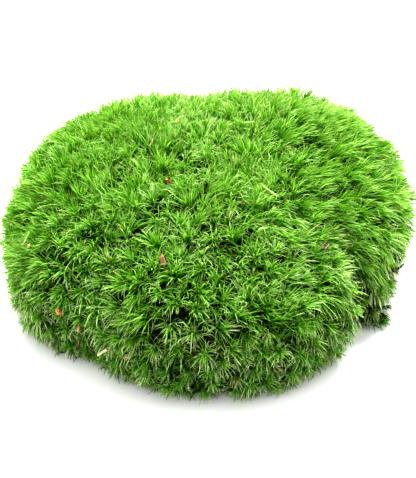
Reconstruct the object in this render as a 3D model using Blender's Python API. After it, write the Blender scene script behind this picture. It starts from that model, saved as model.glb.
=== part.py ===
"""A living clump of broom moss, as lifted from the forest floor, with the litter caught in it.

The clump is a low, rounded cushion of packed upright shoots. Each shoot's leafy head stands out of the
cushion as a pointed tuft of its own. The cushion grows from a pad of brown humus and dead stems, cut off
flat underneath, and its fringe curls down round the pad to just above the ground. Bark flakes, a pine bud
scale, straw, dry leaf scraps and a twig are bedded among the tufts.

Units are metres, +Z is up, the front is -Y, and the origin is on the ground at the middle of the clump.
A place on the cushion is given by its angle in degrees (0 is right, -90 is front) and its fall, which
goes from 0 at the crown over the shoulder, through the widest level, to 1 at the lip.
"""

from math import cos, exp, pi, radians, sin

import bmesh
import bpy
import numpy as np
from mathutils import Matrix, Vector
from mathutils.geometry import delaunay_2d_cdt

MM = 0.001

# How far the tufts' tips reach from the middle, and how square the plan's corners are
REACH_LEFT, REACH_RIGHT = 100 * MM, 98 * MM
REACH_FRONT, REACH_BACK = 93 * MM, 106 * MM
PLAN_SQUARENESS = 2.25
# The plan's bulges and notches: angle, half width in degrees, and how far they go out or in
PLAN_SWELLS = [
    (-150, 10, 2 * MM),
    (-128, 12, -9 * MM),
    (-112, 8, -2 * MM),
    (-47, 13, -6 * MM),
    (-33, 5, -12 * MM),
    (-18, 12, -9 * MM),
    (6, 14, 6 * MM),
    (28, 14, 11 * MM),
    (50, 14, 9.5 * MM),
    (72, 14, -4 * MM),
    (95, 14, -12 * MM),
    (120, 14, -7 * MM),
]
# The side view: the crown, the level where the cushion is widest, its lip, and how full its shoulder is
CROWN_LEVEL = 74 * MM
WIDEST_LEVEL = 25 * MM
LIP_LEVEL = 2.2 * MM
LIP_SHARE = 0.2
SHOULDER_SQUARENESS = 2.5
# How far the fringe tucks in from the widest level down to the lip, with its own bulges and notches
TUCK = 7 * MM
TUCK_SWELLS = [(-20, 9, -11 * MM), (6, 14, 8 * MM)]
# Low mounds and dips over the crown: x, y, half width, height
MOUNDS = [
    (-42 * MM, 24 * MM, 24 * MM, 2 * MM),
    (25 * MM, 43 * MM, 26 * MM, 2 * MM),
    (5 * MM, -30 * MM, 22 * MM, 2 * MM),
    (56 * MM, 8 * MM, 9 * MM, -4 * MM),
    (14 * MM, -70 * MM, 9 * MM, -4 * MM),
    (-34 * MM, -50 * MM, 7 * MM, -3 * MM),
    (45 * MM, -22 * MM, 10 * MM, -3 * MM),
]

# The tufts: how far apart, how far their tips fall short of the full reach, and how far they lean up
TUFT_SPACING = 8 * MM
TUFT_SHORTFALL = 0.2 * MM
TUFT_LEAN = 1.5 * MM
GAP_DEPTH = 8 * MM
GAP_DEPTH_AT_LIP = 1.5 * MM
GAP_STEEPNESS = 0.6
TUFT_TRIES = 16000
TUFT_SEED = 11
# The fringe: its tips along the lip, and the notches between them
FRINGE_TIPS = 72
FRINGE_NOTCH = 3 * MM
LIP_CLEARANCE = 5 * MM

# The humus pad: its edge keeps inside the lip, and comes nearer to it in three places
PAD_HEIGHT = 6 * MM
PAD_INSET = 8 * MM
PAD_SWELLS = [(-128, 10, 3 * MM), (-97, 5, 2 * MM), (-22, 9, 2 * MM)]
PAD_CORNER = 6
PAD_RAGGEDNESS = 1.2 * MM
PAD_UNDERCUT = 1.2 * MM
PAD_WAIST_LEVEL = 2.5 * MM

FACE_GAP = 0.35 * MM
NEST_DEPTH = 14 * MM
STALK_SIDES = 7

GREEN = (0.115, 0.300, 0.032)
HUMUS_BROWN = (0.048, 0.030, 0.018)
BARK_ORANGE = (0.420, 0.160, 0.055)
SCALE_RED = (0.360, 0.110, 0.050)
STRAW = (0.640, 0.520, 0.270)
LEAF_TAN = (0.330, 0.220, 0.110)
TWIG_BROWN = (0.085, 0.060, 0.035)


def swell(angle, swells):
    """The sum of the bulges and notches in one direction."""
    total = 0.0
    for centre, half_width, size in swells:
        away = (angle - centre + 180) % 360 - 180
        total += size * exp(-((away / half_width) ** 2))
    return total


def plan_radius(angle):
    """How far the cushion reaches in one direction at its widest level."""
    x, y = cos(radians(angle)), sin(radians(angle))
    along = abs(x) / (REACH_LEFT if x < 0 else REACH_RIGHT)
    across = abs(y) / (REACH_FRONT if y < 0 else REACH_BACK)
    square = (along**PLAN_SQUARENESS + across**PLAN_SQUARENESS) ** (-1 / PLAN_SQUARENESS)
    return square + swell(angle, PLAN_SWELLS)


def side_view(fall):
    """The share of the plan radius, the level, and the share of the tuck, at one fall."""
    power = 2 / SHOULDER_SQUARENESS
    if fall < 1 - LIP_SHARE:
        turn = fall / (1 - LIP_SHARE) * pi / 2
        level = WIDEST_LEVEL + (CROWN_LEVEL - WIDEST_LEVEL) * cos(turn) ** power
        return sin(turn) ** power, level, 0.0
    down = (fall - 1 + LIP_SHARE) / LIP_SHARE
    return 1.0, WIDEST_LEVEL + (LIP_LEVEL - WIDEST_LEVEL) * down, down**1.6


def mound(x, y):
    """How much the mounds and dips lift the crown at one place."""
    total = 0.0
    for centre_x, centre_y, half_width, height in MOUNDS:
        total += height * exp(-((x - centre_x) ** 2 + (y - centre_y) ** 2) / half_width**2)
    return total


def form_point(angle, fall):
    """A point of the cushion's smooth form, the full reach of its tips."""
    share, level, tucked = side_view(fall)
    radius = plan_radius(angle) * share - (TUCK + swell(angle, TUCK_SWELLS)) * tucked
    x, y = radius * cos(radians(angle)), radius * sin(radians(angle))
    crown_share = max(0.0, (level - WIDEST_LEVEL) / (CROWN_LEVEL - WIDEST_LEVEL))
    return Vector((x, y, level + mound(x, y) * crown_share))


def form_normal(angle, fall):
    """The outward direction of the smooth form."""
    fall = min(max(fall, 0.02), 0.985)
    around = form_point(angle + 0.5, fall) - form_point(angle - 0.5, fall)
    down = form_point(angle, fall + 0.01) - form_point(angle, fall - 0.01)
    return down.cross(around).normalized()


def fringe_angles(first=0.0):
    """The directions of the fringe's tips, or of the notches half a step on from them."""
    return [360 * (i + first) / FRINGE_TIPS - 180 for i in range(FRINGE_TIPS)]


def tuft_places():
    """The (angle, fall) of every tuft, spread at random with no two nearer than the spacing."""
    rng = np.random.default_rng(TUFT_SEED)
    lip = np.array([form_point(angle, 1.0) for angle in fringe_angles()])
    taken = np.empty((0, 3))
    places = []
    for angle, fall in rng.uniform((-180, 0.0), (180, 1.0), (TUFT_TRIES, 2)):
        point = np.array(form_point(angle, fall))
        near_tuft = len(taken) and ((taken - point) ** 2).sum(1).min() < TUFT_SPACING**2
        near_lip = ((lip - point) ** 2).sum(1).min() < LIP_CLEARANCE**2
        if not near_tuft and not near_lip:
            taken = np.vstack([taken, point])
            places.append((angle, fall))
    return places


def tuft_tip(angle, fall, shortfall):
    """The tip of a tuft, which leans up where the form is steep."""
    normal = form_normal(angle, fall)
    up_the_slope = Vector((0, 0, 1)) - normal * normal.z
    tip = form_point(angle, fall) - normal * shortfall + up_the_slope * TUFT_LEAN
    tip.z = max(tip.z, LIP_LEVEL)
    return tip


def gap_bottom(corners):
    """The bottom of the gap where three tufts meet, which is shallower towards the lip."""
    middle = sum((form_point(*place) for place in corners), Vector()) / 3
    outward = sum((form_normal(*place) for place in corners), Vector()).normalized()
    depth = GAP_DEPTH_AT_LIP + GAP_STEEPNESS * (middle.z - LIP_LEVEL)
    return middle - outward * min(GAP_DEPTH, depth)


def fringe_notch(angle):
    """The notch between two tips of the fringe."""
    point = form_point(angle, 1.0)
    inward = Vector((-point.x, -point.y, 0)).normalized()
    return point + (inward + Vector((0, 0, 1))) * FRINGE_NOTCH / 2


def flat_layout(places, steps=400):
    """The places laid out flat round the crown, with the form stretched alike in all directions."""
    falls = np.linspace(0, 1, steps)
    rows = np.array([side_view(fall) for fall in falls])
    mean_reach = (REACH_LEFT + REACH_RIGHT + REACH_FRONT + REACH_BACK) / 4
    radius = rows[:, 0] * mean_reach - TUCK * rows[:, 2]
    run = np.hypot(np.diff(radius), np.diff(rows[:, 1]))
    middle = (radius[1:] + radius[:-1]) / 2
    flat_radius = radius[1] * np.exp(np.concatenate([[0], np.cumsum(run[1:] / middle[1:])]))
    reach = np.interp([fall for _, fall in places], falls[1:], flat_radius)
    return [
        Vector((r * cos(radians(angle)), r * sin(radians(angle)))) for r, (angle, _) in zip(reach, places)
    ]


def tuft_faces(places):
    """The gaps between the tufts, each as the three tufts round it, and all the tufts' faces.

    The tufts are joined in triangles, and every triangle has a gap in its middle. Each edge between two
    tufts is turned to run between the gaps on its two sides, so that every tuft stands alone as a point
    with faces all round it. The first places are the fringe's tips, in order round the lip. Faces name
    their corners by number: the places first, then the gaps, then the fringe's notches.
    """
    triangles = [tuple(corners) for corners in delaunay_2d_cdt(flat_layout(places), [], [], 0, 1e-9)[2]]
    first_notch = len(places) + len(triangles)
    gap_beside = {}
    for index, (a, b, c) in enumerate(triangles):
        for edge in ((a, b), (b, c), (c, a)):
            gap_beside[edge] = len(places) + index
    faces = []
    for (start, end), gap in gap_beside.items():
        if (end, start) in gap_beside:
            faces.append((start, gap_beside[end, start], gap))
        else:
            notch = first_notch + (start if (start + 1) % FRINGE_TIPS == end else end)
            faces += [(start, notch, gap), (notch, end, gap)]
    return triangles, faces


def new_object(name, colour, roughness):
    """An empty mesh object with its own plain material."""
    mesh = bpy.data.meshes.new(name)
    obj = bpy.data.objects.new(name, mesh)
    bpy.context.scene.collection.objects.link(obj)
    material = bpy.data.materials.new(name)
    material.use_nodes = True
    surface = material.node_tree.nodes["Principled BSDF"]
    surface.inputs["Base Color"].default_value = (*colour, 1)
    surface.inputs["Roughness"].default_value = roughness
    surface.inputs["Metallic"].default_value = 0.0
    mesh.materials.append(material)
    return obj


def fill_object(obj, bm):
    """Moves a finished bmesh into its object, with its faces pointing out."""
    bmesh.ops.recalc_face_normals(bm, faces=bm.faces)
    bm.to_mesh(obj.data)
    bm.free()


def ring(bm, inset, level):
    """A ring of new points at one level that follows the pad's edge, two for each tip of the fringe."""
    points = []
    for tip_angle, notch_angle in zip(fringe_angles(), fringe_angles(0.5)):
        for angle in (tip_angle, notch_angle):
            radius = pad_radius(angle) - inset
            points.append(bm.verts.new((radius * cos(radians(angle)), radius * sin(radians(angle)), level)))
    return points


def join_rings(bm, first, second):
    """Joins two rings of the same number of points with a band of faces."""
    for i in range(len(first)):
        j = (i + 1) % len(first)
        bm.faces.new((first[i], first[j], second[j], second[i]))


def close_ring(bm, points, middle):
    """Closes a ring with a fan of faces round its middle."""
    centre = bm.verts.new(middle)
    for i in range(len(points)):
        bm.faces.new((points[i], points[(i + 1) % len(points)], centre))


def pad_radius(angle):
    """The pad's ragged edge, which follows the lip but not into its narrow corners."""
    ragged = sin(radians(7 * angle)) + 0.6 * sin(radians(13 * angle + 50))
    nearby = [angle + PAD_CORNER * share for share in (-1, -0.5, 0, 0.5, 1)]
    lip_radius = min(form_point(near, 1.0).to_2d().length for near in nearby)
    return lip_radius - PAD_INSET + swell(angle, PAD_SWELLS) + PAD_RAGGEDNESS * ragged


def make_cushion():
    """The living cushion: its tufts, the gaps between them, and a hollow underneath for the pad."""
    rng = np.random.default_rng(TUFT_SEED)
    places = [(angle, 1.0) for angle in fringe_angles()] + tuft_places()
    gaps, faces = tuft_faces(places)
    bm = bmesh.new()
    fringe_tips = [bm.verts.new(form_point(*place)) for place in places[:FRINGE_TIPS]]
    for place in places[FRINGE_TIPS:]:
        bm.verts.new(tuft_tip(*place, rng.uniform(0, TUFT_SHORTFALL)))
    for corners in gaps:
        bm.verts.new(gap_bottom([places[i] for i in corners]))
    notches = [bm.verts.new(fringe_notch(angle)) for angle in fringe_angles(0.5)]
    bm.verts.ensure_lookup_table()
    for corners in faces:
        bm.faces.new([bm.verts[i] for i in corners])

    lip = [point for tip_and_notch in zip(fringe_tips, notches) for point in tip_and_notch]
    roof_level = PAD_HEIGHT + FACE_GAP
    mouth = ring(bm, -FACE_GAP, LIP_LEVEL + FRINGE_NOTCH / 2)
    roof = ring(bm, -FACE_GAP, roof_level)
    join_rings(bm, lip, mouth)
    join_rings(bm, mouth, roof)
    close_ring(bm, roof, (0, 0, roof_level))
    cushion = new_object("moss_cushion", GREEN, 0.55)
    fill_object(cushion, bm)
    return cushion


def make_pad():
    """The brown pad of humus and dead stems, with a ragged edge and a flat cut face underneath."""
    bm = bmesh.new()
    foot = ring(bm, PAD_UNDERCUT, 0.0)
    waist = ring(bm, 0.0, PAD_WAIST_LEVEL)
    top = ring(bm, PAD_UNDERCUT, PAD_HEIGHT)
    join_rings(bm, foot, waist)
    join_rings(bm, waist, top)
    close_ring(bm, foot, (0, 0, 0))
    close_ring(bm, top, (0, 0, PAD_HEIGHT))
    fill_object(new_object("humus_pad", HUMUS_BROWN, 0.95), bm)


def flake(length, width, thickness, curl, end_share, stations=7):
    """A thin flake with a ridged back, bent through the curl in radians from one end to the other.

    Its ends are as wide as the end share of its middle.
    """
    bm = bmesh.new()
    rows = []
    for i in range(stations):
        along = 2 * i / (stations - 1) - 1
        half_width = width / 2 * (end_share + (1 - end_share) * cos(along * pi / 2) ** 0.7)
        x = length / curl * sin(curl * along / 2)
        sag = length / curl * (1 - cos(curl * along / 2))
        section = ((-half_width, 0.1), (0, 0.9), (half_width, 0.1), (0, -0.4))
        rows.append([bm.verts.new((x, y, share * thickness - sag)) for y, share in section])
    for before, after in zip(rows, rows[1:]):
        join_rings(bm, before, after)
    bm.faces.new(rows[0])
    bm.faces.new(rows[-1])
    return bm


def stalk(route, radii):
    """A stick with cut ends, along the route's points with its radius at each."""
    bm = bmesh.new()
    points = [Vector(point) * MM for point in route]
    rows = []
    for i, (point, radius) in enumerate(zip(points, radii)):
        ahead = points[min(i + 1, len(points) - 1)] - points[max(i - 1, 0)]
        frame = ahead.to_track_quat("X", "Z")
        turns = [2 * pi * k / STALK_SIDES for k in range(STALK_SIDES)]
        rows.append(
            [bm.verts.new(point + frame @ Vector((0, cos(turn), sin(turn))) * radius * MM) for turn in turns]
        )
    for before, after in zip(rows, rows[1:]):
        join_rings(bm, before, after)
    bm.faces.new(rows[0])
    bm.faces.new(rows[-1])
    return bm


def bedding(angle, fall, lift, turn):
    """Where a piece of litter lies on the cushion.

    Its own Z points outwards and stands off the form by the lift. Its length runs level along the
    flank, turned up to the left by the turn in degrees.
    """
    normal = form_normal(angle, fall)
    level = Vector((0, 0, 1)).cross(normal).normalized()
    frame = Matrix((level, normal.cross(level), normal)).transposed().to_4x4()
    place = Matrix.Translation(form_point(angle, fall) + normal * lift)
    return place @ frame @ Matrix.Rotation(radians(turn), 4, "Z")


def nest_cutter(bm, place, outward):
    """The room a piece of litter takes: its hull with a gap all round, open to the outside."""
    cutter = bmesh.new()
    middle = sum((vert.co for vert in bm.verts), Vector()) / len(bm.verts)
    for vert in bm.verts:
        grown = vert.co + (vert.co - middle).normalized() * 2 * FACE_GAP
        for shift in (Vector(), outward * NEST_DEPTH):
            cutter.verts.new(place @ grown + shift)
    hull = bmesh.ops.convex_hull(cutter, input=cutter.verts)
    inside = [item for item in hull["geom_interior"] if isinstance(item, bmesh.types.BMVert)]
    bmesh.ops.delete(cutter, geom=inside, context="VERTS")
    obj = new_object("nest_cutter", GREEN, 0.55)
    fill_object(obj, cutter)
    obj.hide_render = True
    obj.display_type = "WIRE"
    return obj


def bed(cushion, name, bm, colour, angle, fall, lift, turn):
    """Lays one piece of litter among the tufts, which are cut away round it."""
    place = bedding(angle, fall, lift, turn)
    nest = cushion.modifiers.new("nest_" + name, "BOOLEAN")
    nest.operation = "DIFFERENCE"
    nest.object = nest_cutter(bm, place, form_normal(angle, fall))
    obj = new_object(name, colour, 0.8)
    fill_object(obj, bm)
    obj.matrix_world = place


def lay_litter(cushion):
    """The litter caught in the cushion, from the left round the front to the right and back."""
    # length, width, thickness, curl, end share
    left_scale = flake(3.0 * MM, 2.6 * MM, 0.9 * MM, 0.4, 0.7)
    left_bark = flake(4.4 * MM, 3.4 * MM, 1.2 * MM, 0.5, 0.55)
    low_bark = flake(4.6 * MM, 2.3 * MM, 1.0 * MM, 0.4, 0.6)
    pale_scrap = flake(5.2 * MM, 3.0 * MM, 0.9 * MM, 0.9, 0.5)
    bud_scale = flake(8.2 * MM, 2.7 * MM, 1.0 * MM, 0.4, 0.35)
    red_crumb = flake(3.6 * MM, 2.8 * MM, 1.2 * MM, 0.3, 0.6)
    curled_leaf = flake(8.6 * MM, 2.8 * MM, 1.0 * MM, 1.2, 0.4)
    back_scale = flake(4.6 * MM, 2.8 * MM, 0.9 * MM, 0.5, 0.5)
    bed(cushion, "dry_scale_left", left_scale, STRAW, -155.7, 0.522, -1.2 * MM, 43)
    bed(cushion, "bark_flake_left", left_bark, BARK_ORANGE, -135.8, 0.712, -1.4 * MM, 141)
    bed(cushion, "bark_flake_low", low_bark, BARK_ORANGE, -130.1, 0.77, -1.4 * MM, 88)
    bed(cushion, "leaf_scrap_front", pale_scrap, LEAF_TAN, -113, 0.787, -1.4 * MM, 51)
    bed(cushion, "pine_bud_scale", bud_scale, SCALE_RED, -107.7, 0.34, -1 * MM, 127)
    bed(cushion, "bark_crumb", red_crumb, SCALE_RED, -142.8, 0.08, -1.6 * MM, 133)
    bed(cushion, "leaf_scrap_right", curled_leaf, LEAF_TAN, -38.8, 0.412, -1.6 * MM, 157)
    bed(cushion, "dry_scale_back", back_scale, STRAW, 110.9, 0.162, -1.2 * MM, 65)

    # points along the stick and its radii, in millimetres
    left_thread = stalk([(-3.5, 0.3, 0), (-1.2, -0.1, 0), (1.2, -0.1, 0), (3.5, 0.4, 0)], [0.3, 0.4, 0.4, 0.3])
    brown_stalk = stalk([(-4.0, 0, 0), (-1.2, 0.3, 0), (1.5, 0.1, 0), (4.0, 0.4, 0)], [0.8, 0.7, 0.6, 0.5])
    straw_stalk = stalk([(-5.5, 0, 0), (-1.8, 0.1, 0), (1.8, 0.1, 0), (5.5, 0, 0)], [0.75, 0.7, 0.7, 0.75])
    sliver = stalk([(-5.5, 0, 0), (-1.8, 0.4, 0), (1.8, 0.3, 0), (5.5, -0.6, 0)], [0.3, 0.5, 0.5, 0.3])
    back_thread = stalk([(-3.2, 0, 0), (-1.0, 0.3, 0), (1.2, 0.3, 0), (3.2, 0, 0)], [0.3, 0.4, 0.4, 0.3])
    bed(cushion, "straw_thread_left", left_thread, STRAW, -158.8, 0.517, -0.8 * MM, 130)
    bed(cushion, "brown_stalk", brown_stalk, TWIG_BROWN, -130.9, 0.853, -1.6 * MM, 76)
    bed(cushion, "straw_stalk", straw_stalk, STRAW, -121.3, 0.809, -0.8 * MM, 51)
    bed(cushion, "straw_sliver", sliver, STRAW, -32.3, 0.173, -0.8 * MM, 85)
    bed(cushion, "straw_thread_back", back_thread, STRAW, 57.7, 0.134, -0.8 * MM, 6)

    # the twig runs from under the tufts out of the right flank, along its own Z
    twig = stalk(
        [(-1.0, -1.0, -8), (0, -0.4, -3.5), (0.8, 1.2, 0.2), (2.4, 3.4, 2.4), (4.0, 5.6, 4.6)],
        [1.2, 1.25, 1.1, 0.85, 0.5],
    )
    bed(cushion, "twig", twig, TWIG_BROWN, -14, 0.82, 0, 0)


def stand_on_origin():
    """Moves the whole clump so that the middle of its box, at ground level, is the origin."""
    bpy.context.view_layer.update()
    graph = bpy.context.evaluated_depsgraph_get()
    corners = []
    for obj in bpy.context.scene.objects:
        if not obj.hide_render:
            whole = obj.evaluated_get(graph)
            corners += [whole.matrix_world @ vert.co for vert in whole.data.vertices]
    low = Vector([min(corner[axis] for corner in corners) for axis in range(3)])
    high = Vector([max(corner[axis] for corner in corners) for axis in range(3)])
    shift = Vector(((low.x + high.x) / 2, (low.y + high.y) / 2, low.z))
    for obj in bpy.context.scene.objects:
        obj.matrix_world = Matrix.Translation(-shift) @ obj.matrix_world


def main():
    """Builds the whole clump."""
    for obj in list(bpy.data.objects):
        bpy.data.objects.remove(obj)
    cushion = make_cushion()
    make_pad()
    lay_litter(cushion)
    stand_on_origin()


main()
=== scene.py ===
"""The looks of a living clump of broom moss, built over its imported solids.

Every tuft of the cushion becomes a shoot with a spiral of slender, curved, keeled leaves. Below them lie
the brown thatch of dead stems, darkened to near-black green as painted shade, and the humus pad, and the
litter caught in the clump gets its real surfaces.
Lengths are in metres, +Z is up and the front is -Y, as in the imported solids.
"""

import logging
from abc import ABC, abstractmethod
from dataclasses import dataclass, field
from enum import Enum
from math import cos, pi, radians, sin
from typing import Any, Sequence

import bpy
import numpy as np
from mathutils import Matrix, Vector, noise
from mathutils.bvhtree import BVHTree


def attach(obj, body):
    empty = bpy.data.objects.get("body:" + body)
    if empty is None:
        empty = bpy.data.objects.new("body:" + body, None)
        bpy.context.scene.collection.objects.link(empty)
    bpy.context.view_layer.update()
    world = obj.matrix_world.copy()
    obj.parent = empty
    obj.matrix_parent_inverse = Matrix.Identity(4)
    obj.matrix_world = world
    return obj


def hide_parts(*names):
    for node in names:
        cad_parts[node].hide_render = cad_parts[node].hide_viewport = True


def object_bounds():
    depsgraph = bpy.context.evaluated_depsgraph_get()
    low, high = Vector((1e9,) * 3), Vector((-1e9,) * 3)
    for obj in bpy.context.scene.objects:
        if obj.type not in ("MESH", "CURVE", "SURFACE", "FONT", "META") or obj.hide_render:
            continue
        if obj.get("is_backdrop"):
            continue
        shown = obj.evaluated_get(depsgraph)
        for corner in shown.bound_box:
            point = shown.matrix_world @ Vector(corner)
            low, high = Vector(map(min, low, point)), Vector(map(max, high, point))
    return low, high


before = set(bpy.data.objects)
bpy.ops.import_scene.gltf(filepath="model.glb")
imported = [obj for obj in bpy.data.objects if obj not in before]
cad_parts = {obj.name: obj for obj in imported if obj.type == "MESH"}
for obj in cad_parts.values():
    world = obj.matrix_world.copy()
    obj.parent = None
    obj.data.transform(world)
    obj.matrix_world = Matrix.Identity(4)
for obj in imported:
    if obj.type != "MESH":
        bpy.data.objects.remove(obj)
SOLID_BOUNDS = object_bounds()

Array = np.ndarray
Random = np.random.Generator
Span = tuple[float, float]
Triple = tuple[float, float, float]

MM = 0.001
GOLDEN_ANGLE = radians(137.508)
TINY = 1e-12
PHOTO_SIZE = (416, 478)
ROOT = "root"
BAKE_UV = "OFBake"
UP = np.array((0.0, 0.0, 1.0))
LEVEL = np.array((1.0, 1.0, 0.0))

log = logging.getLogger("moss_clump")


# ---------------------------------------------------------------- small helpers


def linear(hex_colour: str) -> tuple[float, float, float, float]:
    """Turns an sRGB hex colour into a linear one with full alpha.

    Args:
        hex_colour: Such as "#4f9a12".

    Returns:
        Red, green, blue and alpha, each from 0 to 1.
    """
    values = [int(hex_colour[i : i + 2], 16) / 255 for i in (1, 3, 5)]
    # The sRGB curve: a straight foot, then a power
    red, green, blue = [v / 12.92 if v <= 0.04045 else ((v + 0.055) / 1.055) ** 2.4 for v in values]
    return red, green, blue, 1.0


def add_node(
    tree: bpy.types.NodeTree,
    kind: str,
    inputs: dict[Any, Any],
    stops: Sequence[tuple[float, str]] = (),
    **settings: Any,
) -> bpy.types.Node:
    """Adds one node with its settings and links.

    Args:
        tree: The material's node tree.
        kind: The node's type, without the "ShaderNode" in front.
        inputs: Values by input name or number. A socket is linked, anything else is set on the input.
        stops: Position and sRGB hex colour of each stop of a colour ramp, in order.
        **settings: The node's own properties.

    Returns:
        The new node.
    """
    node = tree.nodes.new("ShaderNode" + kind)
    for name, value in settings.items():
        setattr(node, name, value)
    for name, value in inputs.items():
        if isinstance(value, bpy.types.NodeSocket):
            tree.links.new(value, node.inputs[name])
        else:
            node.inputs[name].default_value = value
    if stops:
        elements = node.color_ramp.elements
        while len(elements) < len(stops):
            elements.new(1.0)
        for element, (position, colour) in zip(elements, stops):
            element.position = position
            element.color = linear(colour)
    return node


def new_material(
    name: str, roughness: float, specular: float
) -> tuple[bpy.types.Material, bpy.types.NodeTree, bpy.types.Node]:
    """Makes a material with its Principled surface.

    Args:
        name: The real material and surface.
        roughness: From 0 for a mirror to 1 for matte.
        specular: The strength of its gloss.

    Returns:
        The material, its node tree and its Principled node.
    """
    material = bpy.data.materials.new(name)
    material.use_nodes = True
    tree = material.node_tree
    surface = tree.nodes["Principled BSDF"]
    surface.inputs["Roughness"].default_value = roughness
    surface.inputs["Specular IOR Level"].default_value = specular
    return material, tree, surface


def unit(vectors: Array) -> Array:
    """Scales each row to a length of one."""
    return vectors / np.maximum(np.linalg.norm(vectors, axis=-1, keepdims=True), TINY)


def side_vectors(axes: Array) -> tuple[Array, Array]:
    """Two directions square to each axis and to each other.

    Args:
        axes: Unit vectors, one a row.

    Returns:
        The two sets of unit vectors.
    """
    helper = np.where(np.abs(axes[:, 2:3]) < 0.9, UP, (1.0, 0.0, 0.0))
    first = unit(np.cross(helper, axes))
    return first, np.cross(axes, first)


def mix(low: float, high: float, share: Array) -> Array:
    """Goes from low to high as the share goes from 0 to 1."""
    return low + (high - low) * share


def ring_of(number: int) -> Array:
    """The angles of points spaced evenly round a circle."""
    return np.arange(number) * 2 * pi / number


def grid_faces(at: Array, closed: bool = False, flipped: bool = False) -> Array:
    """The four-sided faces between the rows of a grid of points.

    Args:
        at: The points' numbers, row by row.
        closed: Whether each row goes round to its own start.
        flipped: Whether the faces look the other way.

    Returns:
        The corners of each face, one face a row.
    """
    if closed:
        at = np.concatenate([at, at[:, :1]], 1)
    faces = np.stack([at[:-1, :-1], at[1:, :-1], at[1:, 1:], at[:-1, 1:]], -1).reshape(-1, 4)
    return faces[:, (0, 3, 2, 1)] if flipped else faces


def packed_points(node: str) -> Array:
    """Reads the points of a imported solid.

    Args:
        node: The solid's name.

    Returns:
        Its points, one a row.
    """
    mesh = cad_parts[node].data
    raw = np.zeros(len(mesh.vertices) * 3, np.float32)
    mesh.vertices.foreach_get("co", raw)
    return raw.reshape(-1, 3).astype(float)


def make_object(
    name: str, vertices: Array, corners: Array, sizes: Array, uv: Array | None = None
) -> bpy.types.Object:
    """Makes a smooth-shaded mesh object from arrays.

    Args:
        name: The piece's name.
        vertices: Triples, one a row.
        corners: The points of all faces, one face after another.
        sizes: How many corners each face has.
        uv: A place on the palette for each corner, or None.

    Returns:
        The new object, linked to the scene.
    """
    mesh = bpy.data.meshes.new(name)
    mesh.vertices.add(len(vertices))
    mesh.vertices.foreach_set("co", np.asarray(vertices, np.float32).ravel())
    mesh.loops.add(len(corners))
    mesh.loops.foreach_set("vertex_index", np.asarray(corners, np.int32))
    starts = np.concatenate([[0], np.cumsum(sizes)[:-1]])
    mesh.polygons.add(len(sizes))
    mesh.polygons.foreach_set("loop_start", starts.astype(np.int32))
    mesh.polygons.foreach_set("use_smooth", np.ones(len(sizes), bool))
    if uv is not None:
        layer = mesh.uv_layers.new(name=BAKE_UV)
        layer.data.foreach_set("uv", np.asarray(uv, np.float32).ravel())
    mesh.update(calc_edges=True)
    obj = bpy.data.objects.new(name, mesh)
    bpy.context.scene.collection.objects.link(obj)
    return obj


def make_sheet(name: str, points: Array, faces: Array, palette: Array | None = None) -> bpy.types.Object:
    """Makes one object out of points, four-sided faces and, where given, each corner's palette place."""
    return make_object(name, points, faces.ravel(), np.full(len(faces), 4), palette)


class Finish(ABC):
    """What a real surface is made of, and how it looks."""

    @abstractmethod
    def material(self) -> bpy.types.Material:
        """Makes the material.

        Returns:
            The material, with all its nodes.
        """


class SubAssembly(ABC):
    """One part of the clump, which is built, dressed and reported in turn."""

    finish: Finish

    def __post_init__(self) -> None:
        """Starts without pieces."""
        self.pieces: list[bpy.types.Object] = []

    @abstractmethod
    def build(self) -> None:
        """Makes the part's meshes."""

    def dress(self) -> None:
        """Gives all the part's pieces its one finish."""
        material = self.finish.material()
        for piece in self.pieces:
            piece.data.materials.append(material)

    def settle(self, piece: bpy.types.Object, slot: str, *nodes: str) -> None:
        """Puts a finished piece in the frame.

        Args:
            piece: The piece, in place.
            slot: The record's material slot for the piece; not used.
            *nodes: The solids that it stands for.
        """
        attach(piece, ROOT)
        if nodes:
            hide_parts(*nodes)
        self.pieces.append(piece)

    def report(self) -> None:
        """Logs each piece with its number of triangles."""
        for piece in self.pieces:
            triangles = sum(len(face.vertices) - 2 for face in piece.data.polygons)
            log.info("%s: %d triangles", piece.name, triangles)


# ---------------------------------------------------------------- finishes


@dataclass(frozen=True)
class LeafTone:
    """The colours of one kind of leaf: where it leaves the stem, along the blade and at the tip."""

    place: float
    base: str
    blade: str
    tip: str


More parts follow.
